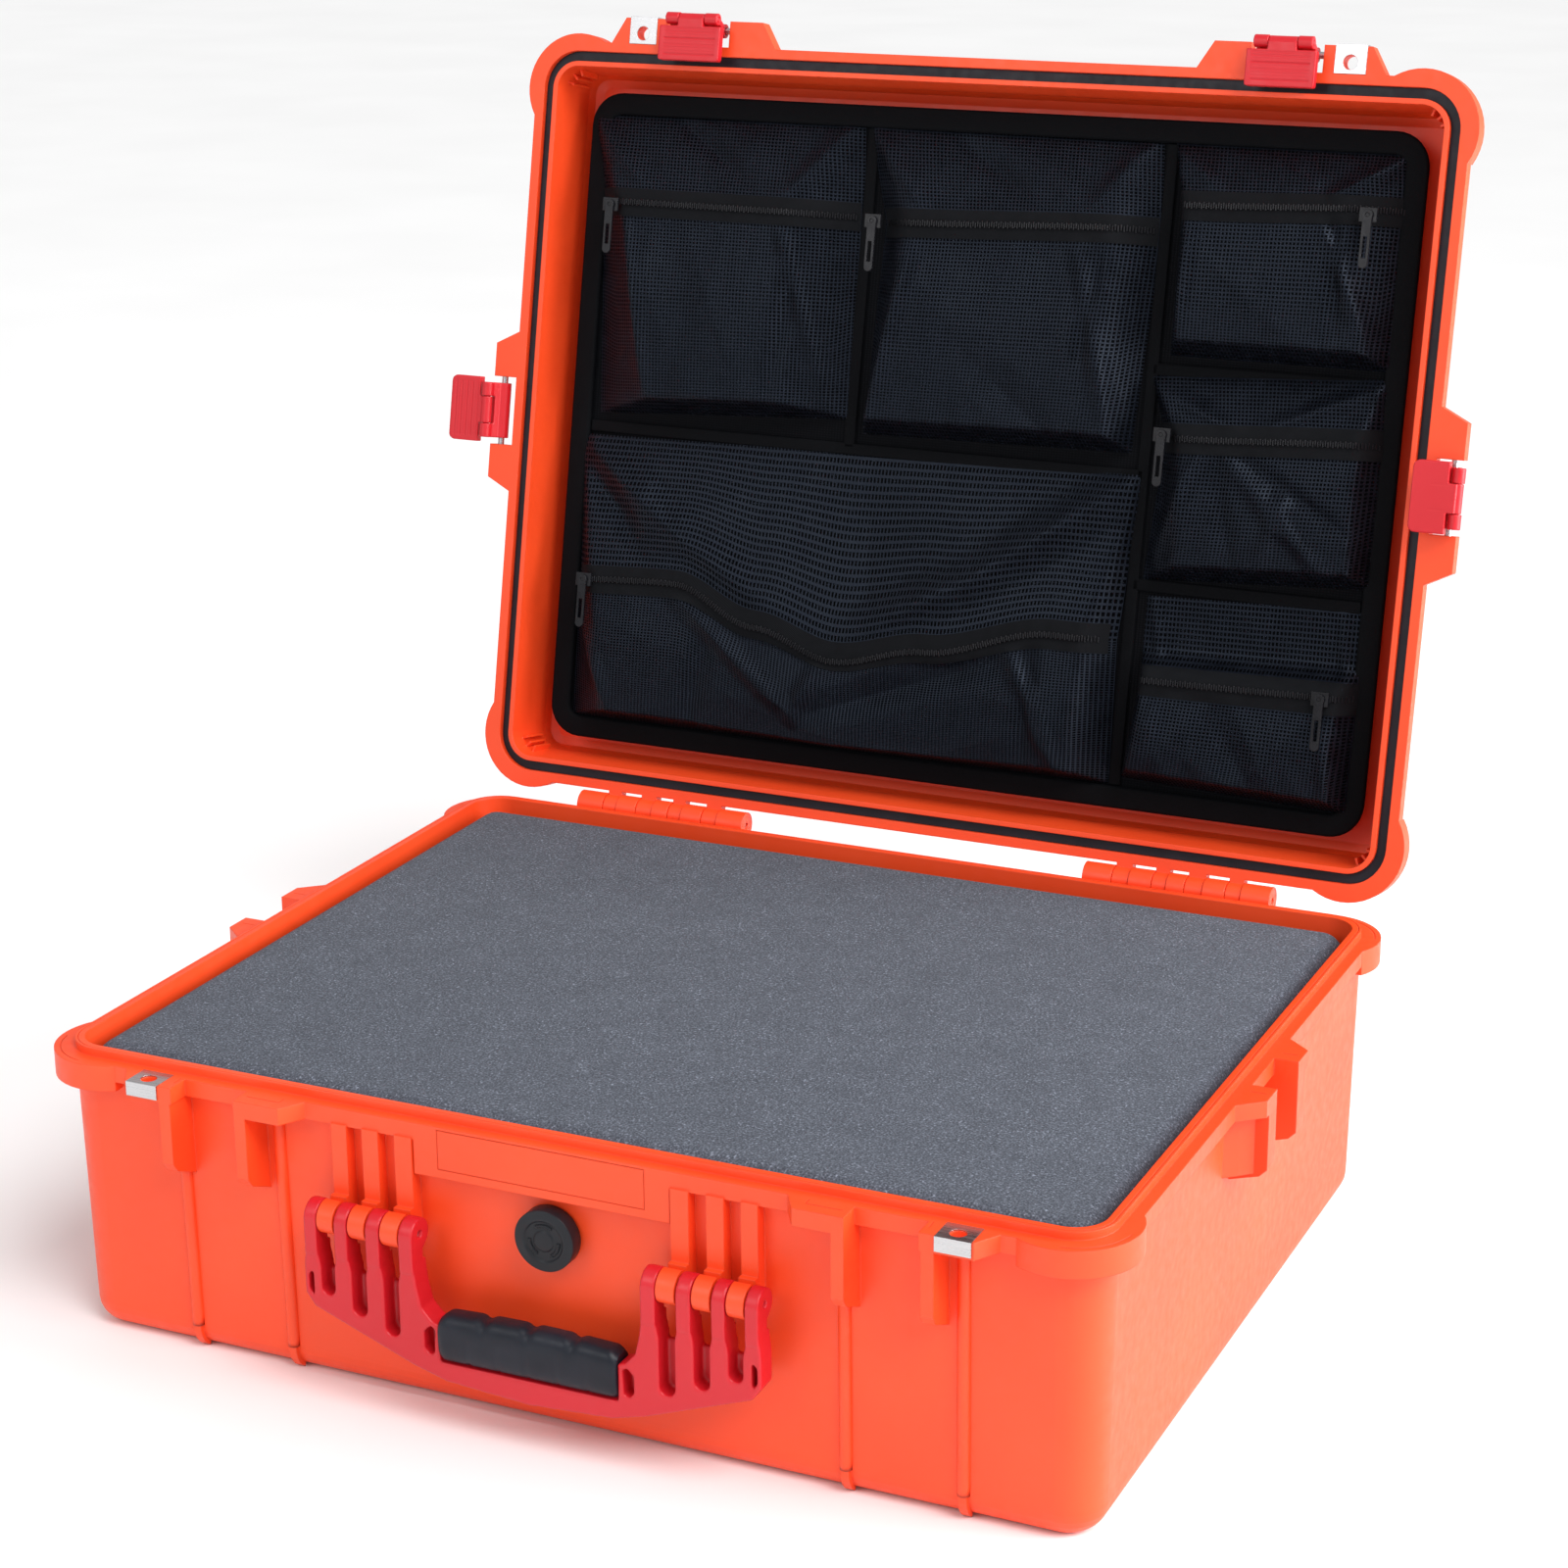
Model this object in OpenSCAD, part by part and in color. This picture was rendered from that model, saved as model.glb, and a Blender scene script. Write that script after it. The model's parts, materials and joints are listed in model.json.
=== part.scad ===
// Hard equipment case: moulded base tub and hinged lid, both drawn as closed shells.
// The lid and all it carries are drawn in the closed place and swung open about the
// hinge axis, so the drawing shows the case standing open with its latches undone.
// Units are millimetres. The origin is the centre of the underside of the base.

/* [Case] */
// height of the base tub from its underside to the face the lid closes on
base_h = 156; // [120:1:200]
// outside width over the sealing lip, side to side
lip_w = 567; // [470:1:680]
// outside depth over the sealing lip, front to back
lip_d = 442; // [366:1:530]
// height of the lid shell above its closing face
lid_h = 50; // [45:1:70]
// corner radius of the sealing lip seen from above
corner_r = 22; // [21:0.5:26]
// height of the sealing lip above the closing face
lip_h = 4.3; // [3:0.1:5]
// thickness of the sealing lip
lip_t = 5; // [4:0.1:5.4]
// how far the rim flange stands out from the lip
flange_w = 6.2; // [5:0.1:7.4]
// depth of the rim flange, top to bottom
flange_h = 9; // [7:0.5:12]
// thickness of the base floor
floor_t = 4; // [3:0.5:6]
// rounding of the bottom outside edge
edge_r = 14; // [8:0.5:15]
// angle the lid is swung open
lid_open = 102; // [60:1:110]

/* [Rim] */
// radius of the round corner guards, from the lip corner centre
guard_r = 33; // [30:0.5:36]
// depth of the corner guards, top to bottom
guard_h = 14; // [10:1:18]
// how far the base latch tabs stand out from the lip
tab_out = 19; // [17:0.5:19.5]
// how far the lid latch ears stand out from the lip
ear_out = 21.5; // [20:0.5:24]
// clear width between the two ears of a latch
ear_gap = 42; // [41:0.5:46]
// length of the stiffening fins below the tabs
fin_l = 47; // [30:1:60]
// width of the upright wall ribs
rib_w = 4.6; // [3:0.2:7]
// diameter of the padlock holes
lock_bore = 8; // [6:0.5:9]
// thickness of the folded steel padlock plates
plate_t = 0.8; // [0.5:0.1:1]

/* [Hinges] */
// distance of the hinge axis behind the lip
hinge_out = 16; // [15.5:0.1:18]
// height of the hinge axis above the closing face
hinge_up = 0.7; // [0.3:0.1:2]
// radius of the base knuckles
knuckle_r = 8.2; // [7:0.1:8.6]
// radius of the hinge pins
hinge_pin_r = 2; // [1.5:0.1:3]

/* [Handle] */
// height of the handle from its pivot to the lowest edge
handle_drop = 76; // [66:1:92]
// thickness of the handle front to back
handle_t = 13; // [11:0.5:14]
// length of the rubber grip
grip_l = 98; // [80:1:100]
// radius of the handle pivot pins
handle_pin_r = 2; // [1.5:0.1:2.5]

/* [Valve] */
// radius of the pressure valve cap
valve_r = 16; // [12:0.5:17]
// sideways place of the valve
valve_x = 3; // [-10:1:10]

/* [Latches] */
// width of a latch lever
lever_w = 40; // [37:0.5:40.4]
// length of a latch lever below its pivot
lever_l = 25; // [22:0.5:28]
// thickness of a latch lever
lever_t = 5.5; // [4:0.1:6]
// width of the latch clips
clip_w = 34; // [30:0.5:34.4]
// how far the two front levers and the right one are turned inward
lever_in = 90; // [0:1:90]
// how far the left lever is turned outward
lever_out = 90; // [0:1:90]

/* [Insides] */
// how far the foam stands above the closing face
foam_gap = 0.8; // [0.5:0.1:1.5]
// gap from the lip to each side of the organizer panel
panel_side = 20.5; // [20:0.5:24]
// gap from the lip to the front and back of the organizer panel
panel_front = 21; // [20.5:0.5:25]
// width of the raised border of the organizer panel
border_w = 13; // [8:0.5:18]
// width of the zip tapes
tape_w = 17; // [12:0.5:20]

/* [Hidden] */
$fn = 48;

orange = [0.96, 0.36, 0.2];
red = [0.85, 0.13, 0.16];
black = [0.08, 0.08, 0.09];
grey = [0.33, 0.35, 0.4];
steel = [0.72, 0.73, 0.75];

sx = lip_w / 567;
sy = lip_d / 442;
hx = lip_w / 2;
hy = lip_d / 2;
cx = hx - corner_r;
cy = hy - corner_r;
fx = hx + flange_w;
fy = hy + flange_w;
face = 0.5;
rb = corner_r - 2.2;
ri = rb - 4;
lock_x = 219 * sx;
latch_x = 183.5 * sx;
hinge_y = hy + hinge_out;
panel_w = lip_w - 2 * panel_side;
panel_d = lip_d - 2 * panel_front;

// z of the foam layers
foam_top = base_h + foam_gap;
foam_bot = floor_t + 6.3;
foam_mid = (foam_top + foam_bot) / 2;

// ---------- shared shapes ----------
function arc(ox, oz, r, a0, a1, n) =
  [for (i = [0:n]) let (a = a0 + (a1 - a0) * i / n) [ox + r * cos(a), oz + r * sin(a)]];

module ring(p) {
  for (mx = [0, 1]) mirror([mx, 0, 0]) {
    translate([cx, cy, 0]) rotate([90, 0, 0]) linear_extrude(2 * cy) polygon(p);
    for (my = [0, 1]) mirror([0, my, 0]) translate([cx, cy, 0]) rotate_extrude(angle = 90) polygon(p);
  }
  for (my = [0, 1]) mirror([0, my, 0])
    translate([-cx, cy, 0]) rotate([90, 0, 90]) linear_extrude(2 * cx) polygon(p);
}

module xcyl(r, x0, x1) { translate([x0, 0, 0]) rotate([0, 90, 0]) cylinder(r = r, h = x1 - x0); }

module round_plate(w, d, r, h) {
  linear_extrude(h) union() {
    square([w - 2 * r, d], center = true);
    square([w, d - 2 * r], center = true);
    for (a = [-1, 1], b = [-1, 1]) translate([a * (w / 2 - r), b * (d / 2 - r)]) circle(r = r);
  }
}

// corner guard seen from above, one corner, from the lip corner centre
module guard_plan(r0) {
  q = guard_r;
  s = corner_r + flange_w;
  difference() {
    union() {
      circle(r = q);
      polygon([[-17, 0], [-17, s], [-9, (q + s) / 2], [-4, q - 0.3], [0, q], [q, 0],
        [q - 0.3, -4], [(q + s) / 2, -9], [s, -17], [0, -17]]);
    }
    polygon([[-40, -40], [60, -40], [60, -17], [r0, -17], [r0, 0], [0, r0], [-17, r0], [-17, 60], [-40, 60]]);
    circle(r = r0);
  }
}

module guards(r0, z0, h) {
  for (mx = [0, 1], my = [0, 1]) mirror([mx, 0, 0]) mirror([0, my, 0])
    translate([cx, cy, z0]) linear_extrude(h) guard_plan(r0);
}

// tab or ear seen from above: inner end a, outer end b on the front, foot c
function front_tab(a, b, c, y0, y1) = [[a, -y0], [a, -y1], [b, -y1], [c, -y0]];

// ---------- base ----------
function base_profile() = concat([[0, 0], [rb - edge_r, 0]], arc(rb - edge_r, edge_r, edge_r, -75, 0, 5),
  [[corner_r, base_h - flange_h], [corner_r + flange_w, base_h - flange_h], [corner_r + flange_w, base_h],
   [corner_r, base_h], [corner_r, base_h + lip_h], [corner_r - 1.3, base_h + lip_h],
   [corner_r - 1.3, base_h + lip_h - 0.5], [corner_r - 1.7, base_h + lip_h - 0.5],
   [corner_r - 1.7, base_h + lip_h],
   [corner_r - lip_t, base_h + lip_h],
   [corner_r - lip_t, base_h - 12], [ri, floor_t + 10],
   [ri - 3, floor_t + 3], [ri - 10, floor_t], [0, floor_t]]);

module base_tabs() {
  translate([0, 0, base_h - flange_h]) linear_extrude(flange_h) {
    for (m = [0, 1]) mirror([m, 0, 0]) {
      polygon(front_tab(latch_x + 18.5, 229 * sx, 241 * sx, hy, hy + tab_out));
      polygon(front_tab(latch_x - 18.5, 139 * sx, 127.5 * sx, hy, hy + tab_out));
      for (n = [0, 1]) mirror([0, n, 0])
        polygon([[hx, -52], [hx + tab_out, -35], [hx + tab_out, -18.5], [hx, -18.5]]);
    }
  }
}

module fin(x0, w, out, l) {
  translate([x0, 0, base_h - flange_h - l]) rotate([90, 0, 90]) linear_extrude(w)
    polygon([[-hy + 3, -8], [-hy - out + 4, 0], [-hy - out, 5], [-hy - out, l + 1], [-hy + 3, l + 1]]);
}

module side_fin(y0, w, l) {
  translate([0, y0 + w, base_h - flange_h - l]) rotate([90, 0, 0]) linear_extrude(w)
    polygon([[hx - 3, -5], [hx + tab_out - 4, 0], [hx + tab_out, 4], [hx + tab_out, l + 1], [hx - 3, l + 1]]);
  translate([0, 0, base_h - flange_h - l + 1]) linear_extrude(l)
    polygon([[hx - 2, y0 - 13], [hx + 6, y0 - 6], [hx + tab_out - 6, y0 + 1], [hx - 2, y0 + 1]]);
}

module rib(x) {
  q = corner_r - rb + edge_r;
  out = edge_r + 2.3;
  low = acos((edge_r - 0.2) / out);
  translate([x - rib_w / 2, -hy, 0]) rotate([90, 0, 90]) linear_extrude(rib_w)
    polygon(concat([[-2.2, base_h - flange_h + 1], [3, base_h - flange_h + 1], [q - edge_r + 2, 20],
      [q - edge_r + 3.8, edge_r - 2], [q - 7.2, floor_t - 0.5]],
      [for (i = [0:5]) let (a = (270 - low) + (low - 90) * i / 5) [q + out * cos(a), edge_r + out * sin(a)]]));
}

// lugs, three to a bracket, that carry the handle
lug_x = [[70.5, 80.1], [89.4, 98.5], [107.4, 116.2]];
handle_y = -(hy + 16);
handle_z = base_h * 102 / 156;

module lug(x0, x1) {
  translate([x0, handle_y, handle_z]) rotate([90, 0, 90]) linear_extrude(x1 - x0) difference() {
    union() {
      circle(r = 8.5);
      polygon([[0, 8.5], [15, 8.5], [15, -8.5], [0, -8.5]]);
      polygon([[8.8, 0], [18, 0], [18, base_h - 8 - handle_z], [8.8, base_h - 8 - handle_z]]);
    }
    translate([1.5, 4.8]) square([4, 9]);
    circle(r = handle_pin_r);
  }
}

module base_knuckles() {
  for (m = [0, 1], k = [[109.6, 127], [137.6, 151.2], [160.4, 171], [182.2, 195.3], [204.9, 222]])
    mirror([m, 0, 0]) translate([k[0] * sx, hinge_y, base_h + hinge_up]) difference() {
      union() {
        xcyl(knuckle_r, 0, (k[1] - k[0]) * sx);
        translate([0, -hinge_out, -flange_h - hinge_up]) cube([(k[1] - k[0]) * sx, hinge_out, flange_h]);
      }
      xcyl(hinge_pin_r + 0.05, -1, (k[1] - k[0]) * sx + 1);
    }
}

// fine mould lines left in the tops of the tabs and corner guards
module witness_lines() {
  d = 0.4;
  for (m = [0, 1]) mirror([m, 0, 0]) {
    translate([latch_x - 41, -(hy + 12), base_h - d]) cube([19, 0.5, 2]);
    translate([latch_x - 41, -(hy + 12), base_h - d]) cube([0.5, 5, 2]);
    translate([latch_x + 20.5, -(hy + 12), base_h - d]) cube([0.5, 6, 2]);
    for (n = [0, 1]) mirror([0, n, 0]) translate([hx + 8, -27, base_h - d]) cube([8, 0.5, 2]);
    for (n = [0, 1]) mirror([0, n, 0]) translate([cx, cy, base_h - d]) rotate([0, 0, 8])
      rotate_extrude(angle = 74) translate([guard_r - 3.6, 0]) square([0.5, 2]);
  }
}

module base_shell() {
  color(orange) difference() {
    union() {
      ring(base_profile());
      translate([-cx, -cy, 0]) cube([2 * cx, 2 * cy, floor_t]);
      guards(corner_r - 1, base_h - guard_h, guard_h);
      base_tabs();
      for (m = [0, 1]) mirror([m, 0, 0]) {
        fin(latch_x + 19.5, 6.5, tab_out, fin_l - flange_h);
        fin(latch_x - 25, 6.5, tab_out, fin_l - flange_h);
        for (n = [0, 1]) mirror([0, n, 0]) side_fin(-31, 12.5, fin_l - flange_h - 4);
        for (l = lug_x) lug(l[0], l[1]);
      }
      for (x = [-209, -151, 157, 217]) rib(x * sx);
      translate([-69.8, -fy, base_h - 27]) cube([139.6, flange_w + 3, 27]);
      base_knuckles();
    }
    translate([valve_x, -hy - 12, base_h - 48]) rotate([-90, 0, 0]) cylinder(r = 9, h = 30);
    for (m = [0, 1]) mirror([m, 0, 0])
      translate([lock_x, -(hy + 12.5), base_h - 20]) cylinder(d = lock_bore, h = 30);
    translate([-56.5, -fy - 1, base_h - 22.5]) cube([113, 1.6, 21]);
    plate_seat(tab_out, base_h - seat_d);
    witness_lines();
  }
}

module nameplate() {
  color(orange) translate([-56.2, -fy + 0.1, base_h - 22.2]) cube([112.4, 0.5, 20.4]);
}

module foam(z0, z1) {
  in = 2 * (corner_r - ri);
  translate([0, 0, z0]) round_plate(lip_w - in - 6, lip_d - in - 9, ri - 3, z1 - z0);
}
module foam_upper() { color(grey) foam(foam_mid + 0.2, foam_top); }
module foam_lower() { color(grey) foam(foam_bot, foam_mid); }
module foam_base_pad() {
  color(grey) translate([0, 0, floor_t]) round_plate(lip_w - 50, lip_d - 52, 8, 6.1);
}

// ---------- valve ----------
module valve_at() { translate([valve_x, -hy + 0.4, base_h - 48]) rotate([90, 0, 0]) children(); }
module valve_body() {
  color(black) valve_at() difference() {
    union() {
      translate([0, 0, 1.4]) cylinder(r = valve_r - 2.2, h = 4);
      translate([0, 0, -10]) cylinder(r = 8.5, h = 12);
    }
    translate([0, 0, -11]) cylinder(r = 5.5, h = 14);
  }
}
module valve_cap() {
  color(black) valve_at() difference() {
    union() {
      translate([0, 0, 1.4]) cylinder(r = valve_r, h = 7.6);
      translate([0, 0, 9]) cylinder(r = valve_r - 3.2, h = 0.8);
    }
    translate([0, 0, 0]) cylinder(r = valve_r - 2.1, h = 5.5);
    for (a = [20, 140, 260]) rotate([0, 0, a]) translate([7.5, -2.5, 6.5]) cube([1.4, 5, 4]);
  }
}
module valve_seal() {
  color(black) valve_at() difference() {
    cylinder(r = valve_r - 2.6, h = 1.3);
    translate([0, 0, -1]) cylinder(r = 8.6, h = 4);
  }
}
module valve_nut() {
  color(black) valve_at() translate([0, 0, -10.1]) difference() {
    cylinder(r = 12, h = 5, $fn = 6);
    translate([0, 0, -1]) cylinder(r = 8.6, h = 8);
  }
}

// ---------- padlock plates, folded over the tab edge ----------
module lock_plate(out, z0, leg, up) {
  w = 18;
  translate([lock_x - w / 2, -(hy + out) - plate_t - 0.1, z0]) difference() {
    union() {
      cube([w, 16.2, plate_t]);
      translate([0, 0, up ? 0 : plate_t - leg]) cube([w, plate_t, leg]);
    }
    translate([w / 2, out - 12.5 + plate_t + 0.1, -5]) cylinder(d = lock_bore + 0.4, h = 10);
  }
}
module plate_seat(out, z0) {
  for (m = [0, 1]) mirror([m, 0, 0]) translate([lock_x - 9.1, -(hy + out) - 1, z0]) cube([18.2, 16.5, 3]);
}
seat_d = plate_t - 0.1;
module padlock_plates_base() {
  color(steel) for (m = [0, 1]) mirror([m, 0, 0]) lock_plate(tab_out, base_h - seat_d, 7.6, false);
}

module hinge_pins() {
  color(steel) for (m = [0, 1]) mirror([m, 0, 0])
    translate([0, hinge_y, base_h + hinge_up]) xcyl(hinge_pin_r, 109.6 * sx + 1, 222 * sx - 1);
}

// ---------- handle ----------
finger_x = [[62.2, 69.9], [81.0, 88.6], [99.4, 106.5], [116.9, 123.8]];
module handle_pins() {
  color(steel) for (m = [0, 1]) mirror([m, 0, 0])
    translate([0, handle_y, handle_z]) xcyl(handle_pin_r - 0.05, 64, 122);
}
// pockets between the fingers, open to the front, and where each ends
slot_end = [[71.3, 79.6, -54.5], [89.8, 98.0, -47.5], [107.9, 115.5, -39.5]];
module slot_plan(i) {
  g = [finger_x[i][1], finger_x[i + 1][0]];
  e = slot_end[i];
  r = (e[1] - e[0]) / 2;
  polygon([[g[0], -10], [g[0], -18], [e[0], -25], [e[0], e[2] + r], [e[1], e[2] + r], [e[1], -25],
    [g[1], -18], [g[1], -10]]);
  translate([e[0] + r, e[2] + r]) circle(r = r);
}
module handle_frame() {
  d = handle_drop;
  back = 5;
  k = 76 - d;
  color(red) translate([0, handle_y, handle_z]) difference() {
    union() {
      for (m = [0, 1]) mirror([m, 0, 0]) for (f = finger_x) {
        xcyl(8.5, f[0], f[1]);
        translate([f[0], -8.5, -18]) cube([f[1] - f[0], 11, 18]);
      }
      translate([0, back, 0]) rotate([90, 0, 0]) linear_extrude(handle_t)
        polygon([[-123.8, -14], [-125, -25], [-125, -40 + k], [-120, -47 + k], [-64, -68 + k], [-46, -73 + k],
          [0, -d], [46, -73 + k], [64, -68 + k], [120, -47 + k], [125, -40 + k], [125, -25], [123.8, -14],
          [62.2, -14], [61, -25], [58.5, -36], [53, -42], [48, -43.5], [0, -40], [-48, -43.5], [-53, -42],
          [-58.5, -36], [-61, -25], [-62.2, -14]]);
    }
    // the lugs stand between the fingers, so the upper part of each gap is open right through
    for (m = [0, 1], i = [0:2]) mirror([m, 0, 0]) {
      translate([finger_x[i][1], -20, -18]) cube([finger_x[i + 1][0] - finger_x[i][1], 40, 30]);
      translate([0, back + 1, 0]) rotate([90, 0, 0]) linear_extrude(handle_t + 2) intersection() {
        slot_plan(i);
        translate([60, -29]) square([70, 30]);
      }
      translate([0, back - 3.2, 0]) rotate([90, 0, 0]) linear_extrude(handle_t) slot_plan(i);
    }
    for (m = [0, 1]) mirror([m, 0, 0]) translate([0, back - 4, 0]) rotate([90, 0, 0]) linear_extrude(handle_t)
      polygon([[51.5, -46], [54, -44.5], [57.6, -48], [57.6, -57 + k], [55, -60 + k], [52.2, -59 + k]]);
    for (m = [0, 1]) mirror([m, 0, 0]) translate([0, back - 4, 0]) rotate([90, 0, 0]) linear_extrude(handle_t)
      polygon([[120, -27], [122.8, -30], [122.8, -38 + k], [120, -42 + k]]);
    xcyl(handle_pin_r + 0.05, -130, 130);
    translate([-grip_l / 2 - 0.05, back - handle_t - 2, -d + 13]) cube([grip_l + 0.1, handle_t + 4, 60]);
  }
  // the core the grip is moulded over
  color(red) translate([-grip_l / 2 - 1, handle_y - 4, handle_z - d + 12]) cube([grip_l + 2, 5, 14]);
}
module handle_grip() {
  d = handle_drop;
  color(black) translate([-grip_l / 2 + 0.1, handle_y - 1.5, handle_z - d + 26.2]) difference() {
    rotate([90, 0, 90]) linear_extrude(grip_l - 0.2) union() {
      polygon([[-9, -4], [-9, 8], [-5.5, 14.5], [4.5, 14.5], [7.5, 8], [7.5, -4], [5, -12.9], [-6, -12.9]]);
    }
    translate([-1, -2.7, -20]) cube([grip_l + 2, 5.4, 20.1]);
  }
}

// ---------- lid ----------
module lid_place() {
  translate([0, hinge_y, base_h + hinge_up]) rotate([-lid_open, 0, 0])
    translate([0, -hinge_y, -hinge_up]) children();
}

lid_ri = corner_r - 10.5;
function lid_profile() = concat([[corner_r + flange_w, face], [corner_r + flange_w, face + flange_h],
  [corner_r - 1.5, face + flange_h]], arc(corner_r - 17.5, lid_h - 12, 12, 0, 90, 5),
  [[0, lid_h], [0, lid_h - 4], [lid_ri - 7, lid_h - 4], [lid_ri - 2, lid_h - 6], [lid_ri, lid_h - 11],
   [corner_r - 8.5, face], [corner_r - 5.5, face], [corner_r - 5.5, face + 9.2], [corner_r + 0.6, face + 9.2],
   [corner_r + 0.6, face]]);

module lid_ears() {
  g = ear_gap / 2;
  translate([0, 0, face]) linear_extrude(flange_h) for (m = [0, 1]) mirror([m, 0, 0]) {
    polygon(front_tab(latch_x - 1 + g, 231 * sx, 243 * sx, hy + 1, hy + ear_out));
    polygon(front_tab(latch_x - 1 - g, 140 * sx, 127.5 * sx, hy + 1, hy + ear_out));
    for (n = [0, 1]) mirror([0, n, 0])
      polygon([[hx + 1, -52], [hx + ear_out, -41.5], [hx + ear_out, -g], [hx + 1, -g]]);
  }
}

lid_knuckles = [[127.4, 137.2], [151.6, 160], [171.4, 181.8], [195.7, 204.5]];
pivot_out = 16;
pivot_up = 4.5;

module latch_bores(r) {
  for (m = [0, 1]) mirror([m, 0, 0]) {
    translate([latch_x - 1, -(hy + pivot_out), pivot_up]) xcyl(r, -31, 31);
    translate([hx + pivot_out, 0, pivot_up]) rotate([0, 0, 90]) xcyl(r, -31, 31);
  }
}

module lid_shell() {
  color(orange) lid_place() difference() {
    union() {
      ring(lid_profile());
      translate([-cx, -cy, lid_h - 4]) cube([2 * cx, 2 * cy, 4]);
      guards(corner_r + 1, face, guard_h - 2);
      lid_ears();
      for (mx = [0, 1], my = [0, 1]) mirror([mx, 0, 0]) mirror([0, my, 0]) for (a = [20, 45, 70])
        translate([cx, cy, 12]) rotate([0, 0, a]) translate([lid_ri - 2.6, -0.7, 0]) cube([4.6, 1.4, 20]);
      for (a = [-1, 1], b = [-1, 1])
        translate([a * 200 * sx, b * 150 * sy, 34.2]) cylinder(r = 7, h = lid_h - 37);
      for (m = [0, 1], k = lid_knuckles) mirror([m, 0, 0]) translate([k[0] * sx, hinge_y, hinge_up]) {
        xcyl(7.4, 0, (k[1] - k[0]) * sx);
        translate([0, -hinge_out + 1, face - hinge_up]) cube([(k[1] - k[0]) * sx, hinge_out - 1, 6.5]);
      }
    }
    for (m = [0, 1], k = lid_knuckles) mirror([m, 0, 0]) translate([k[0] * sx, hinge_y, hinge_up])
      xcyl(hinge_pin_r + 0.05, -1, (k[1] - k[0]) * sx + 1);
    latch_bores(2);
    translate([0, 0, face + plate_t - 0.1 - 3]) plate_seat(ear_out, 0);
    for (m = [0, 1]) mirror([m, 0, 0])
      translate([lock_x, -(hy + 12.5), -10]) cylinder(d = lock_bore, h = 40);
  }
}

module lid_gasket() {
  z0 = lip_h + 0.25;
  color(black) lid_place() ring([[corner_r - 5.4, z0], [corner_r - 5.4, 9.2 + face],
    [corner_r + 0.5, 9.2 + face], [corner_r + 0.5, z0]]);
}
module padlock_plates_lid() {
  color(steel) lid_place() for (m = [0, 1]) mirror([m, 0, 0])
    lock_plate(ear_out, face - 0.1, 8.6, true);
}
module latch_pins() { color(steel) lid_place() latch_bores(2); }

// ---------- organizer in the lid ----------
pz = 29.2;
module organizer_panel() {
  color(black) lid_place() translate([0, 0, pz]) round_plate(panel_w - 2, panel_d - 2, 19, 5);
}
module organizer_border() {
  color(black) lid_place() translate([0, 0, pz - 4]) difference() {
    round_plate(panel_w, panel_d, 20, 4);
    translate([0, 0, -1]) round_plate(panel_w - 2 * border_w, panel_d - 2 * border_w, 10, 6);
  }
}
bx = panel_w / 2 - border_w;
by = panel_d / 2 - border_w;
// pocket fields: left, right, front and back edge as drawn closed, and the zip line
col1 = -0.31 * bx;
col2 = 0.45 * bx;
row1 = 0.0;
row2 = -0.32 * by;
row3 = 0.35 * by;
div = 8;
field = [
  [-bx + 2, col1 - div / 2, -by + 3, row1 - div / 2, -0.70 * by],
  [col1 + div / 2, col2 - div / 2, -by + 3, row1 - div / 2, -0.70 * by],
  [col2 + div / 2, bx - 2, -by + 3, row2 - div / 2, -0.81 * by],
  [col2 + div / 2, bx - 2, row2 + div / 2, row3 - div / 2, -0.11 * by],
  [col2 + div / 2, bx - 2, row3 + div / 2, by - 3, 0.64 * by],
  [-bx + 2, col2 - div / 2, row1 + div / 2, by - 3, 0.53 * by]];
top_z = [10, 10, 10, 10, 10, 10];

module organizer_dividers() {
  color(black) lid_place() translate([0, 0, pz - 2.4]) linear_extrude(2.4) union() {
    translate([col1 - 3.5, -by + 0.3]) square([7, by + row1 - 0.3]);
    translate([col2 - 3.5, -by + 0.3]) square([7, 2 * by - 0.6]);
    translate([-bx + 0.3, row1 - 3.5]) square([col2 + bx - 0.3, 7]);
    for (r = [row2, row3]) translate([col2, r - 3.5]) square([bx - col2 - 0.3, 7]);
  }
}

module pocket(i) {
  f = field[i];
  zy = f[4];
  color(black) lid_place() translate([f[0] + 2, 0, 0]) rotate([90, 0, 90]) linear_extrude(f[1] - f[0] - 4)
    polygon([[f[2], pz - 0.3], [f[2], pz - 3], [zy - tape_w / 2, top_z[i]], [zy + tape_w / 2, top_z[i]],
      [f[3] - 6, top_z[i] + 5], [f[3], pz - 3], [f[3], pz - 0.3]]);
}
module pocket_top_left() { pocket(0); }
module pocket_top_middle() { pocket(1); }
module pocket_top_right() { pocket(2); }
module pocket_right_middle() { pocket(3); }
module pocket_right_low() { pocket(4); }
module pocket_large() { pocket(5); }

module zip_tapes() {
  color(black) lid_place() for (f = field)
    translate([f[0] + 2, f[4] - tape_w / 2, 9.1]) cube([f[1] - f[0] - 4, tape_w, 0.8]);
}
module zip_coils() {
  color(black) lid_place() for (f = field)
    translate([f[0] + 3, f[4] - 1.6, 8.1]) cube([f[1] - f[0] - 6, 3.2, 0.9]);
}

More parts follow.
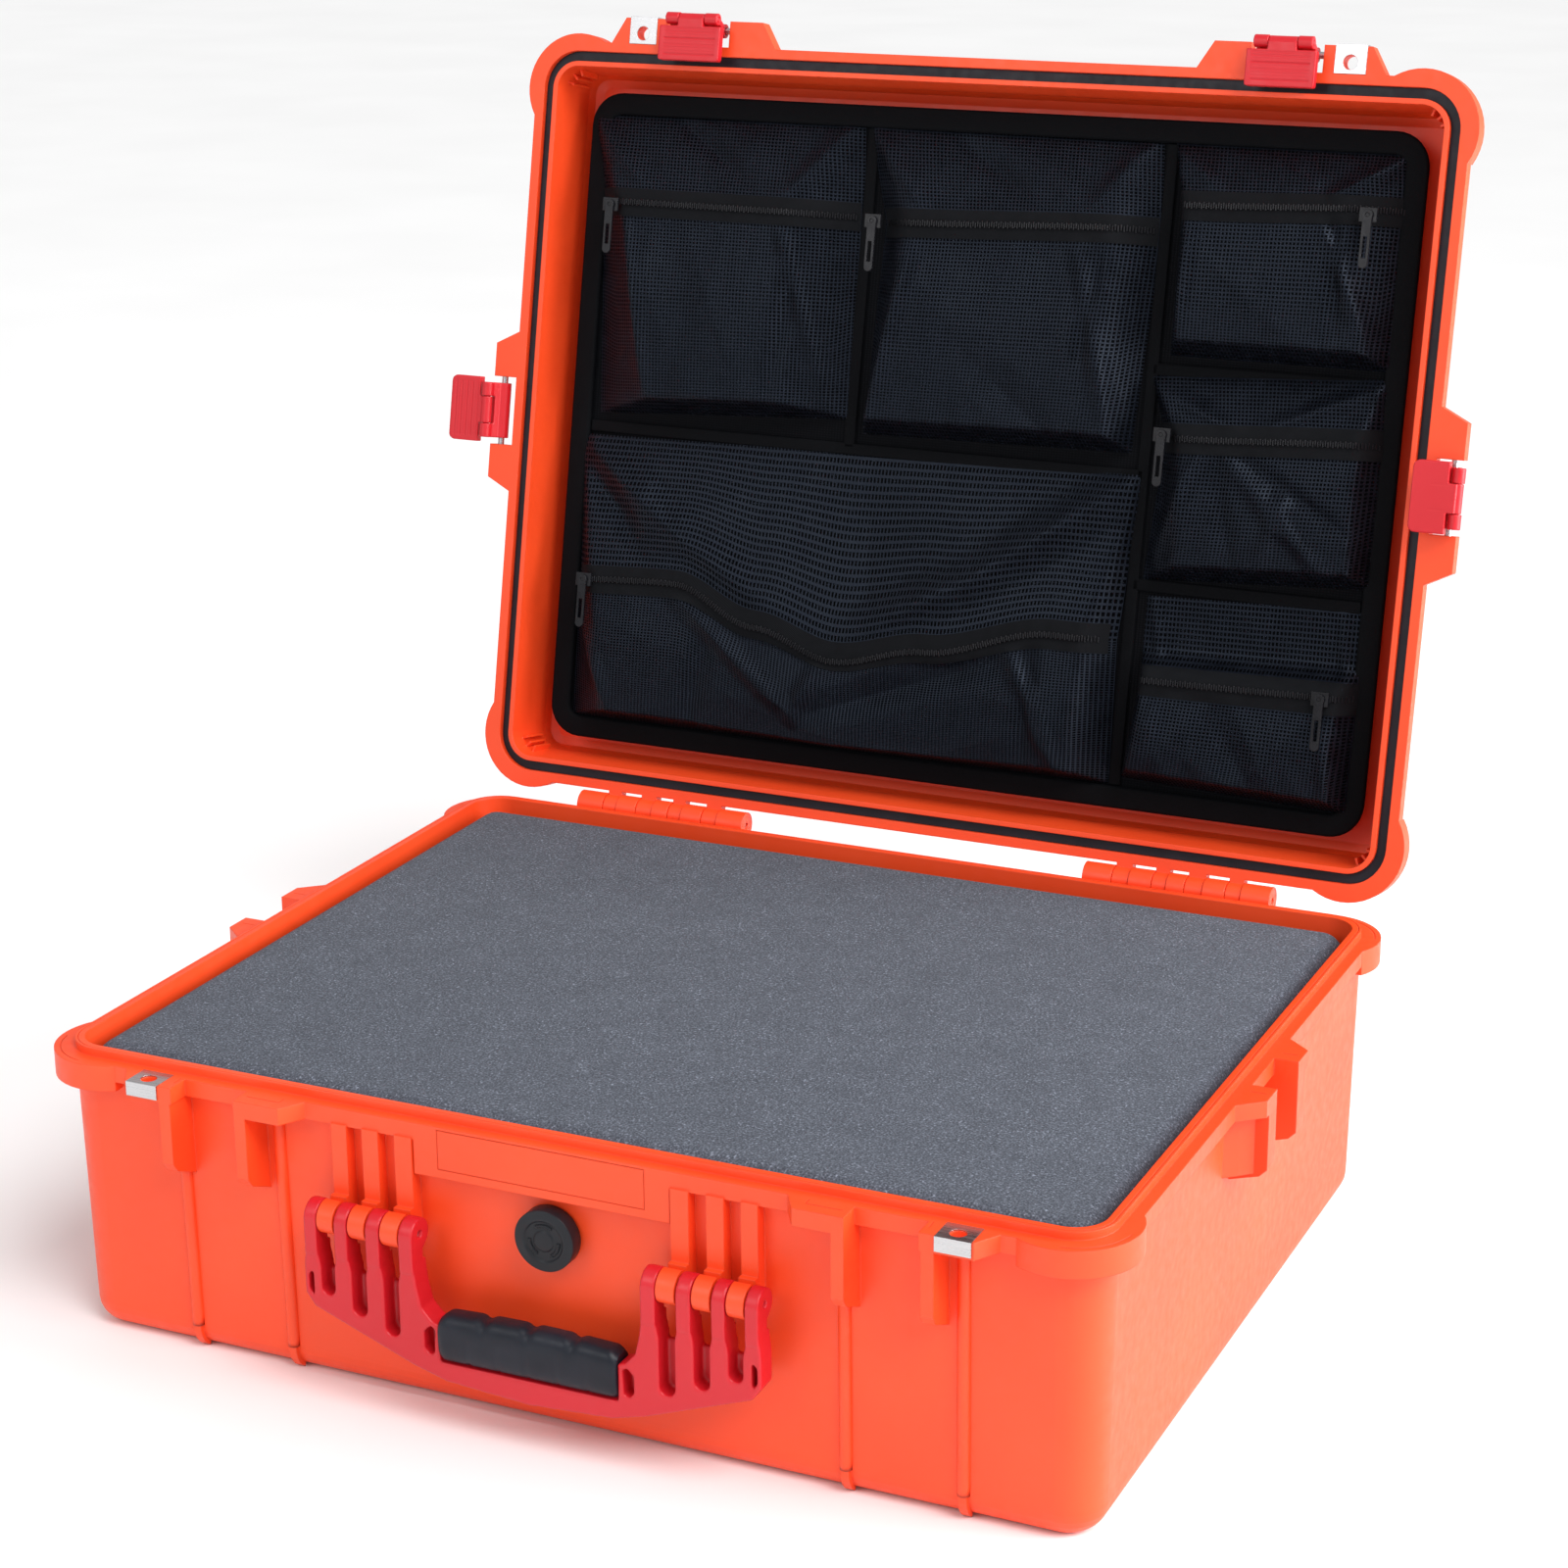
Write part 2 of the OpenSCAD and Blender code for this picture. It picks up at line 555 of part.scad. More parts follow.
// slider places: at the left end, or at the right end of the two fields that show none
slide_x = [for (i = [0:5]) (i == 2 || i == 4) ? field[i][1] - 12 : field[i][0] + 12];
module slider(i) {
  color(black) lid_place() translate([slide_x[i], field[i][4], 0]) difference() {
    union() {
      translate([-5, -4, 5.9]) cube([10, 8, 2]);
      translate([0, 0, 4.6]) cylinder(r = 1.2, h = 1.5);
    }
  }
}
module pull(i) {
  color(black) lid_place() translate([slide_x[i], field[i][4], 4.3]) difference() {
    union() {
      linear_extrude(1.3) union() {
        circle(r = 3);
        translate([-2.6, 0]) square([5.2, 27]);
        translate([0, 27]) circle(r = 2.6);
      }
    }
    translate([0, 0, -1]) cylinder(r = 1.25, h = 4);
    translate([-1.2, 12, -1]) cube([2.4, 12, 4]);
  }
}
module slider_top_left() { slider(0); }
module slider_top_middle() { slider(1); }
module slider_top_right() { slider(2); }
module slider_right_middle() { slider(3); }
module slider_right_low() { slider(4); }
module slider_large() { slider(5); }
module pull_top_left() { pull(0); }
module pull_top_middle() { pull(1); }
module pull_top_right() { pull(2); }
module pull_right_middle() { pull(3); }
module pull_right_low() { pull(4); }
module pull_large() { pull(5); }

// ---------- latches: local x along the pin, y outward, z up, clip pivot at the origin ----------
p2_out = 5.5;
p2_down = 11.5;
link_l = sqrt(p2_out * p2_out + p2_down * p2_down);
lean = atan2(p2_out, p2_down);
knuckle_w = 8.2;

module clip() {
  h = clip_w / 2;
  color(red) rotate([lean, 0, 0]) difference() {
    union() {
      xcyl(4.2, -h, h);
      translate([-h, -1.8, 4.6 - link_l]) cube([clip_w, 3.6, link_l - 4.6]);
      for (a = [-1, 1]) translate([a > 0 ? knuckle_w + 0.3 : -h, 0, -link_l]) {
        xcyl(3.6, 0, h - knuckle_w - 0.3);
        translate([0, -1.8, 0]) cube([h - knuckle_w - 0.3, 3.6, link_l]);
      }
    }
    xcyl(2.05, -30, 30);
    translate([0, 0, -link_l]) xcyl(1.55, -30, 30);
  }
}

// outline of a lever seen flat, hanging down, with rounded free corners
module lever_plan(r) {
  w = lever_w / 2;
  union() {
    translate([-w, -lever_l + r]) square([lever_w, lever_l - r - 4.6]);
    translate([-w + r, -lever_l]) square([lever_w - 2 * r, 2 * r]);
    for (a = [-1, 1]) translate([a * (w - r), -lever_l + r]) circle(r = r);
    translate([-knuckle_w, -8]) square([2 * knuckle_w, 8]);
  }
}

module lever(turn, r, ridge_y, split) {
  w = lever_w / 2;
  color(red) translate([0, p2_out, -p2_down]) rotate([turn, 0, 0]) difference() {
    union() {
      translate([0, lever_t - 1.25, 0]) rotate([90, 0, 0]) linear_extrude(lever_t) lever_plan(r);
      xcyl(3.2, -knuckle_w, knuckle_w);
      xcyl(1.5, -clip_w / 2, clip_w / 2);
    }
    for (k = [0:8]) translate([-w + 3, ridge_y - 0.5, 3.2 - lever_l + k * 1.9]) cube([lever_w - 6, 1, 0.8]);
    if (split) for (a = [-1, 1])
      translate([a * 7 - 0.3, lever_t - 1.25 - 0.8, -15]) cube([0.6, 1, 11]);
  }
}
module latch_front_at(m) {
  lid_place() translate([(latch_x - 1) * m, -(hy + pivot_out), pivot_up]) rotate([0, 0, 180]) children();
}
module latch_side_at(m) {
  lid_place() translate([(hx + pivot_out) * m, 0, pivot_up]) rotate([0, 0, -90 * m]) children();
}
module front_lever() { lever(-lever_in, 1.5, lever_t - 1.25, false); }

module clip_front_left() { latch_front_at(-1) clip(); }
module clip_front_right() { latch_front_at(1) clip(); }
module clip_side_left() { latch_side_at(-1) clip(); }
module clip_side_right() { latch_side_at(1) clip(); }
module lever_front_left() { latch_front_at(-1) front_lever(); }
module lever_front_right() { latch_front_at(1) front_lever(); }
module lever_side_left() { latch_side_at(-1) lever(lever_out, 4, -1.25, true); }
module lever_side_right() { latch_side_at(1) lever(-lever_in, 4, -1.25, true); }

base_shell();
foam_upper();
foam_lower();
foam_base_pad();
valve_body();
valve_cap();
valve_seal();
valve_nut();
nameplate();
padlock_plates_base();
hinge_pins();
handle_pins();
handle_frame();
handle_grip();
lid_shell();
lid_gasket();
padlock_plates_lid();
latch_pins();
organizer_panel();
organizer_border();
organizer_dividers();
pocket_top_left();
pocket_top_middle();
pocket_top_right();
pocket_right_middle();
pocket_right_low();
pocket_large();
zip_tapes();
zip_coils();
clip_front_left();
clip_front_right();
clip_side_left();
clip_side_right();
lever_front_left();
lever_front_right();
lever_side_left();
lever_side_right();
slider_top_left();
slider_top_middle();
slider_top_right();
slider_right_middle();
slider_right_low();
slider_large();
pull_top_left();
pull_top_middle();
pull_top_right();
pull_right_middle();
pull_right_low();
pull_large();
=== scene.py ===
"""Looks of a hard equipment case, standing open with its latches undone.

The moulded shells, pins and plates are the frame's own solids with moulded and
metal finishes. The soft parts, the grip, the valve face, the zips and the small
moulded details are modelled here, in metres, each in the place its solid holds.
"""

import json
import logging
import math
import random
from dataclasses import dataclass, field
from enum import Enum
from typing import Callable, Dict, List, Optional, Sequence, Tuple

import bpy
from mathutils import Matrix, Vector


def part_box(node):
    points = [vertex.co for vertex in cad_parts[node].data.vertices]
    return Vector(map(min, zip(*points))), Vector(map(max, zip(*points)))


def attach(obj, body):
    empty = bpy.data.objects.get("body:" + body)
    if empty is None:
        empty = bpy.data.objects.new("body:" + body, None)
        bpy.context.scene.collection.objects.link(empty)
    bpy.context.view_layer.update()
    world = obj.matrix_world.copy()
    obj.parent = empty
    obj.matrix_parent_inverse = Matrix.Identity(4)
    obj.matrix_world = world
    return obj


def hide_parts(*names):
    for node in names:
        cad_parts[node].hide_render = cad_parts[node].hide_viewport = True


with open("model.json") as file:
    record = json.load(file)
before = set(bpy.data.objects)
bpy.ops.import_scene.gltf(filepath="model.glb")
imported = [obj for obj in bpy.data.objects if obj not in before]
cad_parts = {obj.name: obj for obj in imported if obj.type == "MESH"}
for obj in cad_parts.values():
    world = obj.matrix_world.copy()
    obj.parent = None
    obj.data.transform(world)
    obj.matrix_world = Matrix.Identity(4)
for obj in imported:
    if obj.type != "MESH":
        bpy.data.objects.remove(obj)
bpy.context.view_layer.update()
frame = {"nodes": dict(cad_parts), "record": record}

logging.basicConfig(level=logging.INFO, format="%(message)s")
LOG = logging.getLogger("case")
MM = 0.001
Point = Tuple[float, float, float]
Spot = Tuple[float, float]
Socket = bpy.types.NodeSocket


class Weave(Enum):
    """The ways the cloths of the organizer are made."""

    TWILL = "twill"
    NYLON = "nylon"
    NAP = "nap"


# ---------------------------------------------------------------- finishes


class NodeBench:
    """A material's node tree with short ways to add what the finishes share."""

    def __init__(self, name: str) -> None:
        """Start an empty material.

        Args:
            name: the material's name.
        """
        self.material = bpy.data.materials.new(name)
        self.material.use_nodes = True
        self.tree = self.material.node_tree
        self.shader = self.tree.nodes["Principled BSDF"]
        self.coords = self.tree.nodes.new("ShaderNodeTexCoord")

    def add(self, kind: str, **values: object) -> bpy.types.Node:
        """Add a node and set its properties.

        Args:
            kind: the node's Blender type.
            values: properties of the node.

        Returns:
            The new node.
        """
        node = self.tree.nodes.new(kind)
        for key, value in values.items():
            setattr(node, key, value)
        return node

    def link(self, source: Socket, target: Socket) -> None:
        """Join two sockets."""
        self.tree.links.new(source, target)

    def feed(self, name: str, source: Socket) -> None:
        """Join a socket to one of the shader's own.

        Args:
            name: the shader's socket.
            source: what it is joined to.
        """
        self.link(source, self.shader.inputs[name])

    def noise(self, scale: float, detail: float = 3.0, stretch: Point = (1, 1, 1)) -> Socket:
        """Noise in the object's own space.

        Args:
            scale: cells in a metre.
            detail: octaves.
            stretch: scale along each axis.

        Returns:
            The noise value socket.
        """
        node = self.add("ShaderNodeTexNoise")
        node.inputs["Scale"].default_value = scale
        node.inputs["Detail"].default_value = detail
        if stretch == (1, 1, 1):
            self.link(self.coords.outputs["Object"], node.inputs["Vector"])
        else:
            mapping = self.add("ShaderNodeMapping")
            mapping.inputs["Scale"].default_value = stretch
            self.link(self.coords.outputs["Object"], mapping.inputs["Vector"])
            self.link(mapping.outputs["Vector"], node.inputs["Vector"])
        return node.outputs["Fac"]

    def ramp(self, value: Socket, stops: Sequence[Tuple[float, Sequence[float]]]) -> Socket:
        """Colour ramp of a value.

        Args:
            value: the value read.
            stops: places and colours, in order.

        Returns:
            The colour socket.
        """
        node = self.add("ShaderNodeValToRGB")
        band = node.color_ramp
        while len(band.elements) < len(stops):
            band.elements.new(0.5)
        for element, (place, colour) in zip(band.elements, stops):
            element.position = place
            element.color = (*colour, 1.0)
        self.link(value, node.inputs["Fac"])
        return node.outputs["Color"]

    def span(self, value: Socket, low: float, high: float, a: float = 0.3, b: float = 0.7) -> Socket:
        """Map a value's band a..b to low..high.

        Args:
            value: the value read.
            low: result at a.
            high: result at b.
            a: lower end of the band.
            b: upper end of the band.

        Returns:
            The mapped socket.
        """
        node = self.add("ShaderNodeMapRange")
        for key, number in (("From Min", a), ("From Max", b), ("To Min", low), ("To Max", high)):
            node.inputs[key].default_value = number
        self.link(value, node.inputs["Value"])
        return node.outputs["Result"]

    def math(self, how: str, first: object, second: object = 0.0) -> Socket:
        """A maths node of sockets or numbers.

        Args:
            how: the operation.
            first: socket or number.
            second: socket or number.

        Returns:
            The value socket.
        """
        node = self.add("ShaderNodeMath", operation=how)
        for place, value in enumerate((first, second)):
            if isinstance(value, (int, float)):
                node.inputs[place].default_value = float(value)
            else:
                self.link(value, node.inputs[place])
        return node.outputs["Value"]

    def bump(self, height: Socket, strength: float, depth: float,
             under: Optional[Socket] = None) -> Socket:
        """Bump from a height.

        Args:
            height: the height socket.
            strength: 0 to 1.
            depth: metres between height 0 and 1.
            under: a normal to add to.

        Returns:
            The normal socket.
        """
        node = self.add("ShaderNodeBump")
        node.inputs["Strength"].default_value = strength
        node.inputs["Distance"].default_value = depth
        self.link(height, node.inputs["Height"])
        if under is not None:
            self.link(under, node.inputs["Normal"])
        return node.outputs["Normal"]

    def soft_edges(self, radius: float) -> Socket:
        """Normal that rounds sharp edges.

        Args:
            radius: of the rounding, in metres.

        Returns:
            The normal socket.
        """
        node = self.add("ShaderNodeBevel", samples=4)
        node.inputs["Radius"].default_value = radius
        return node.outputs["Normal"]

    def flat_coords(self) -> Tuple[Socket, Socket]:
        """The piece's own flat coordinates, in metres of cloth.

        Returns:
            Sockets across and along.
        """
        split = self.add("ShaderNodeSeparateXYZ")
        self.link(self.coords.outputs["UV"], split.inputs["Vector"])
        return split.outputs["X"], split.outputs["Y"]

    def comb(self, across: Socket, pitch: float) -> Socket:
        """A sine of a coordinate, 0 to 1, that repeats at a pitch.

        Args:
            across: the coordinate.
            pitch: in metres.

        Returns:
            The value socket.
        """
        turned = self.math("MULTIPLY", across, 2 * math.pi / pitch)
        return self.math("ADD", self.math("MULTIPLY", self.math("SINE", turned), 0.5), 0.5)

    def set(self, **values: object) -> None:
        """Set the shader's own sockets, with _ for spaces."""
        for key, value in values.items():
            self.shader.inputs[key.replace("_", " ")].default_value = value


@dataclass(frozen=True)
class MouldedPlastic:
    """Moulded polypropylene with a fine spark grain."""

    name: str
    colour: Point
    deep: Point
    roughness: float = 0.44
    edge: float = 0.9 * MM

    def build(self) -> bpy.types.Material:
        """Make the material.

        Returns:
            The material.
        """
        bench = NodeBench(self.name)
        broad = bench.noise(9.0, 2.0)
        shade = bench.ramp(broad, ((0.3, self.deep), (0.7, self.colour)))
        bench.feed("Base Color", shade)
        rough = bench.span(bench.noise(160.0, 4.0), self.roughness - 0.05, self.roughness + 0.07)
        bench.feed("Roughness", rough)
        grain = bench.noise(1500.0, 2.0)
        sink = bench.noise(28.0, 1.0)
        rounded = bench.soft_edges(self.edge)
        normal = bench.bump(sink, 0.10, 0.6 * MM, rounded)
        normal = bench.bump(grain, 0.16, 0.10 * MM, normal)
        bench.feed("Normal", normal)
        bench.set(Specular_IOR_Level=0.5)
        return bench.material


@dataclass(frozen=True)
class CellFoam:
    """Open-cell foam, speckled by its cut cells."""

    name: str
    dark: Point
    light: Point

    def build(self) -> bpy.types.Material:
        """Make the material.

        Returns:
            The material.
        """
        bench = NodeBench(self.name)
        cells = bench.add("ShaderNodeTexVoronoi", feature="F1")
        cells.inputs["Scale"].default_value = 820.0
        bench.link(bench.coords.outputs["Object"], cells.inputs["Vector"])
        fleck = bench.noise(1100.0, 2.0)
        cloud = bench.noise(60.0, 3.0)
        mixed = bench.math("ADD", bench.math("MULTIPLY", cells.outputs["Distance"], 0.45),
                           bench.math("MULTIPLY", fleck, 0.62))
        mixed = bench.math("ADD", mixed, bench.math("MULTIPLY", cloud, 0.12))
        middle = tuple((a + b) / 2 for a, b in zip(self.dark, self.light))
        shade = bench.ramp(mixed, ((0.40, self.dark), (0.60, middle), (0.74, self.light),
                                   (0.86, tuple(min(1.0, 2.1 * c) for c in self.light))))
        bench.feed("Base Color", shade)
        bench.feed("Normal", bench.bump(mixed, 0.55, 0.5 * MM))
        bench.set(Roughness=0.95, Specular_IOR_Level=0.12, Sheen_Weight=0.05, Sheen_Roughness=0.6)
        return bench.material


@dataclass(frozen=True)
class MouldedRubber:
    """Soft moulded rubber or smooth black plastic."""

    name: str
    colour: Point
    roughness: float
    grain: float = 0.12

    def build(self) -> bpy.types.Material:
        """Make the material.

        Returns:
            The material.
        """
        bench = NodeBench(self.name)
        lighter = tuple(c * 1.5 + 0.003 for c in self.colour)
        shade = bench.ramp(bench.noise(40.0, 3.0), ((0.3, self.colour), (0.7, lighter)))
        bench.feed("Base Color", shade)
        rough = bench.span(bench.noise(220.0, 3.0), self.roughness - 0.06, self.roughness + 0.08)
        bench.feed("Roughness", rough)
        normal = bench.bump(bench.noise(1300.0, 2.0), self.grain, 0.1 * MM, bench.soft_edges(0.5 * MM))
        bench.feed("Normal", normal)
        bench.set(Specular_IOR_Level=0.26)
        return bench.material


@dataclass(frozen=True)
class BrushedSteel:
    """Folded stainless strip, brushed along its length."""

    name: str
    colour: Point = (0.62, 0.62, 0.63)

    def build(self) -> bpy.types.Material:
        """Make the material.

        Returns:
            The material.
        """
        bench = NodeBench(self.name)
        strokes = bench.noise(60.0, 4.0, (1.0, 40.0, 40.0))
        shade = bench.ramp(strokes, ((0.3, tuple(c * 0.82 for c in self.colour)), (0.7, self.colour)))
        bench.feed("Base Color", shade)
        bench.feed("Roughness", bench.span(strokes, 0.22, 0.38))
        bench.feed("Normal", bench.bump(strokes, 0.12, 0.05 * MM, bench.soft_edges(0.3 * MM)))
        bench.set(Metallic=1.0)
        return bench.material


@dataclass(frozen=True)
class WovenCloth:
    """Closed black cloth: woven nylon, twill tape or napped fabric."""

    name: str
    colour: Point
    weave: Weave
    pitch: float = 0.7 * MM

    def build(self) -> bpy.types.Material:
        """Make the material.

        Returns:
            The material.
        """
        bench = NodeBench(self.name)
        across, along = bench.flat_coords()
        if self.weave is Weave.TWILL:
            slant = bench.math("ADD", across, along)
            cloth = bench.comb(slant, self.pitch)
        elif self.weave is Weave.NYLON:
            cloth = bench.math("MULTIPLY", bench.comb(across, self.pitch), bench.comb(along, self.pitch))
        else:
            cloth = bench.noise(1600.0, 3.0)
        fuzz = bench.noise(120.0, 4.0)
        blend = bench.math("ADD", bench.math("MULTIPLY", cloth, 0.6), bench.math("MULTIPLY", fuzz, 0.5))
        lighter = tuple(c * 2.2 + 0.004 for c in self.colour)
        bench.feed("Base Color", bench.ramp(blend, ((0.2, self.colour), (0.9, lighter))))
        bench.feed("Roughness", bench.span(fuzz, 0.62, 0.85))
        bench.feed("Normal", bench.bump(cloth, 0.5, 0.22 * MM))
        bench.set(Specular_IOR_Level=0.05, Sheen_Weight=0.01, Sheen_Roughness=0.45,
                  Sheen_Tint=(0.45, 0.55, 0.75, 1.0))
        return bench.material


@dataclass(frozen=True)
class OpenMesh:
    """Coated mesh: a square net of threads with holes seen through."""

    name: str
    thread: Point
    pitch: float = 2.6 * MM
    width: float = 0.36

    def build(self) -> bpy.types.Material:
        """Make the material.

        Returns:
            The material.
        """
        bench = NodeBench(self.name)
        across, along = bench.flat_coords()
        bars = []
        for way in (across, along):
            step = bench.math("FRACT", bench.math("DIVIDE", way, self.pitch))
            middle = bench.math("ABSOLUTE", bench.math("SUBTRACT", step, 0.5))
            bars.append(bench.span(middle, 1.0, 0.0, self.width / 2, self.width / 2 + 0.08))
        net = bench.math("MAXIMUM", bars[0], bars[1])
        knots = bench.math("MULTIPLY", bars[0], bars[1])
        height = bench.math("ADD", net, bench.math("MULTIPLY", knots, 0.4))
        worn = bench.noise(90.0, 3.0)
        lighter = tuple(c * 1.9 for c in self.thread)
        bench.feed("Base Color", bench.ramp(worn, ((0.3, self.thread), (0.75, lighter))))
        bench.feed("Alpha", bench.span(net, 0.05, 1.0, 0.0, 1.0))
        bench.feed("Roughness", bench.span(worn, 0.34, 0.5))
        bench.feed("Normal", bench.bump(height, 0.7, 0.3 * MM))
        bench.set(Specular_IOR_Level=0.24, Specular_Tint=(0.62, 0.75, 1.0, 1.0))
        return bench.material


@dataclass
class Finishes:
    """Every finish of the case, made once and found by the record's slot names."""

    made: Dict[str, bpy.types.Material] = field(default_factory=dict)

    def make(self) -> None:
        """Make all the materials."""
        recipes = {
            "orange_shell": MouldedPlastic("moulded_orange", (0.93, 0.078, 0.014), (0.88, 0.062, 0.010)),
            "red_parts": MouldedPlastic("moulded_red", (0.62, 0.010, 0.020), (0.55, 0.007, 0.015),
                                        0.40, 0.6 * MM),
            "foam": CellFoam("grey_foam", (0.040, 0.045, 0.058), (0.110, 0.122, 0.152)),
            "valve_black": MouldedRubber("valve_plastic", (0.008, 0.009, 0.012), 0.34),
            "gasket_rubber": MouldedRubber("gasket_rubber", (0.010, 0.012, 0.018), 0.42),
            "grip_rubber": MouldedRubber("grip_rubber", (0.008, 0.010, 0.016), 0.40, 0.2),
            "steel": BrushedSteel("brushed_steel"),
            "organizer_cloth": WovenCloth("panel_nylon", (0.0016, 0.0018, 0.0026), Weave.NYLON, 0.9 * MM),
            "organizer_edge": WovenCloth("edge_cloth", (0.0014, 0.0016, 0.0022), Weave.NAP),
            "mesh_cloth": OpenMesh("pocket_mesh", (0.0030, 0.0038, 0.0062)),
            "zip_tape": WovenCloth("zip_tape_cloth", (0.0034, 0.0037, 0.0046), Weave.TWILL, 0.9 * MM),
            "zip_black": MouldedRubber("zip_lacquer", (0.006, 0.006, 0.008), 0.28, 0.05),
        }
        for slot, recipe in recipes.items():
            self.made[slot] = recipe.build()

    def dress_frame(self) -> None:
        """Give every node of the frame the finish its record slot names."""
        slots = {part["node"]: part["material_slot"] for part in frame["record"]["subparts"]}
        for name, node in frame["nodes"].items():
            while len(node.material_slots) < 1:
                node.data.materials.append(None)
            for place in node.material_slots:
                place.material = self.made[slots[name]]

    def dress(self, piece: bpy.types.Object, slot: str) -> None:
        """Give a new piece its finish.

        Args:
            piece: the new object.
            slot: the record's slot name.
        """
        piece.data.materials.clear()
        piece.data.materials.append(self.made[slot])


# ---------------------------------------------------------------- bench work


class Hand:
    """Modelling by operators, as by hand."""

    @staticmethod
    def clear() -> None:
        """Deselect everything and leave edit mode."""
        if bpy.context.object is not None and bpy.context.object.mode != "OBJECT":
            bpy.ops.object.mode_set(mode="OBJECT")
        bpy.ops.object.select_all(action="DESELECT")

    @staticmethod
    def take(piece: bpy.types.Object) -> None:
        """Make a piece the one selected and active object."""
        Hand.clear()
        piece.select_set(True)
        bpy.context.view_layer.objects.active = piece

    @staticmethod
    def fix(piece: bpy.types.Object, name: str) -> bpy.types.Object:
        """Put a piece's place into its mesh and name it.

        Args:
            piece: the object.
            name: its new name.

        Returns:
            The object.
        """
        Hand.take(piece)
        bpy.ops.object.transform_apply(location=True, rotation=True, scale=True)
        piece.name = name
        piece.data.name = name
        return piece

    @staticmethod
    def box(name: str, low: Sequence[float], high: Sequence[float]) -> bpy.types.Object:
        """A cube primitive between two corners, as a start.

        Args:
            name: the piece's name.
            low: lowest corner.
            high: highest corner.

        Returns:
            The object.
        """
        Hand.clear()
        middle = [(a + b) / 2 for a, b in zip(low, high)]
        bpy.ops.mesh.primitive_cube_add(size=1.0, location=middle, scale=[b - a for a, b in zip(low, high)])
        return Hand.fix(bpy.context.object, name)

    @staticmethod
    def rod(name: str, middle: Sequence[float], radius: float, length: float, axis: str,
            sides: int = 48) -> bpy.types.Object:
        """A cylinder primitive along an axis, as a start.

        Args:
            name: the piece's name.
            middle: its centre.
            radius: its radius.
            length: its length.
            axis: X, Y or Z.
            sides: of the cylinder.

        Returns:
            The object.
        """
        Hand.clear()
        turn = {"X": (0, math.pi / 2, 0), "Y": (math.pi / 2, 0, 0), "Z": (0, 0, 0)}[axis]
        bpy.ops.mesh.primitive_cylinder_add(vertices=sides, radius=radius, depth=length,
                                            location=middle, rotation=turn)
        return Hand.fix(bpy.context.object, name)

    @staticmethod
    def pick(piece: bpy.types.Object, kind: str, test: Callable[[Vector, Vector], bool]) -> int:
        """Select parts of a mesh by place and normal and enter edit mode.

        Args:
            piece: the object.
            kind: FACE, EDGE or VERT.
            test: says whether the part at a centre, with a normal, is taken.

        Returns:
            How many parts were taken.
        """
        Hand.take(piece)
        mesh = piece.data
        for group in (mesh.vertices, mesh.edges, mesh.polygons):
            for part in group:
                part.select = False
        taken = 0
        if kind == "FACE":
            for face in mesh.polygons:
                if test(face.center, face.normal):
                    face.select = True
                    taken += 1
        elif kind == "EDGE":
            for edge in mesh.edges:
                a, b = (mesh.vertices[i].co for i in edge.vertices)
                if test((a + b) / 2, (b - a).normalized()):
                    edge.select = True
                    taken += 1
        else:
            for vert in mesh.vertices:
                if test(vert.co, vert.normal):
                    vert.select = True
                    taken += 1
        bpy.ops.object.mode_set(mode="EDIT")
        bpy.ops.mesh.select_mode(type=kind)
        return taken

    @staticmethod
    def done() -> None:
        """Leave edit mode."""
        bpy.ops.object.mode_set(mode="OBJECT")

    @staticmethod
    def round_corners(piece: bpy.types.Object, radius: float) -> None:
        """Round the upright edges of a block.

        Args:
            piece: the block.
            radius: of its corners, in metres.
        """
        Hand.pick(piece, "EDGE", lambda c, d: abs(d.z) > 0.9)
        bpy.ops.mesh.bevel(offset=radius, segments=8, affect="EDGES")
        Hand.done()

    @staticmethod
    def soften(piece: bpy.types.Object, width: float, segments: int = 2,
               angle: float = 40.0) -> bpy.types.Object:
        """Round the sharp edges with an applied bevel and shade smooth.

        Args:
            piece: the object.
            width: of the bevel.
            segments: of the bevel.
            angle: edges sharper than this are rounded, in degrees.

        Returns:
            The object.
        """
        Hand.take(piece)
        cut = piece.modifiers.new("round", "BEVEL")
        cut.width, cut.segments = width, segments
        cut.limit_method, cut.angle_limit = "ANGLE", math.radians(angle)
        bpy.ops.object.modifier_apply(modifier=cut.name)
        bpy.ops.object.shade_smooth_by_angle(angle=math.radians(50))
        return piece

    @staticmethod
    def join(pieces: Sequence[bpy.types.Object], name: str) -> bpy.types.Object:
        """Join objects into one.

        Args:
            pieces: the objects.
            name: of the result.

        Returns:
            The joined object.
        """
        Hand.clear()
        for piece in pieces:
            piece.select_set(True)
        bpy.context.view_layer.objects.active = pieces[0]
        if len(pieces) > 1:
            bpy.ops.object.join()
        return Hand.fix(pieces[0], name)

    @staticmethod
    def copy(piece: bpy.types.Object, name: str, matrix: Matrix) -> bpy.types.Object:
        """A copy with its own mesh, moved by a matrix.

        Args:
            piece: the object.
            name: of the copy.
            matrix: where it goes.

        Returns:
            The copy.
        """
        mesh = piece.data.copy()
        mesh.transform(matrix)
        if matrix.determinant() < 0:
            mesh.flip_normals()
        twin = bpy.data.objects.new(name, mesh)
        mesh.name = name
        bpy.context.collection.objects.link(twin)
        return twin


def smooth(low: float, high: float, value: float) -> float:
    """A step from 0 at low to 1 at high with soft ends.

    Args:
        low: where it starts.
        high: where it ends.
        value: the place.

    Returns:
        0 to 1.
    """
    part = max(0.0, min(1.0, (value - low) / (high - low)))
    return part * part * (3 - 2 * part)


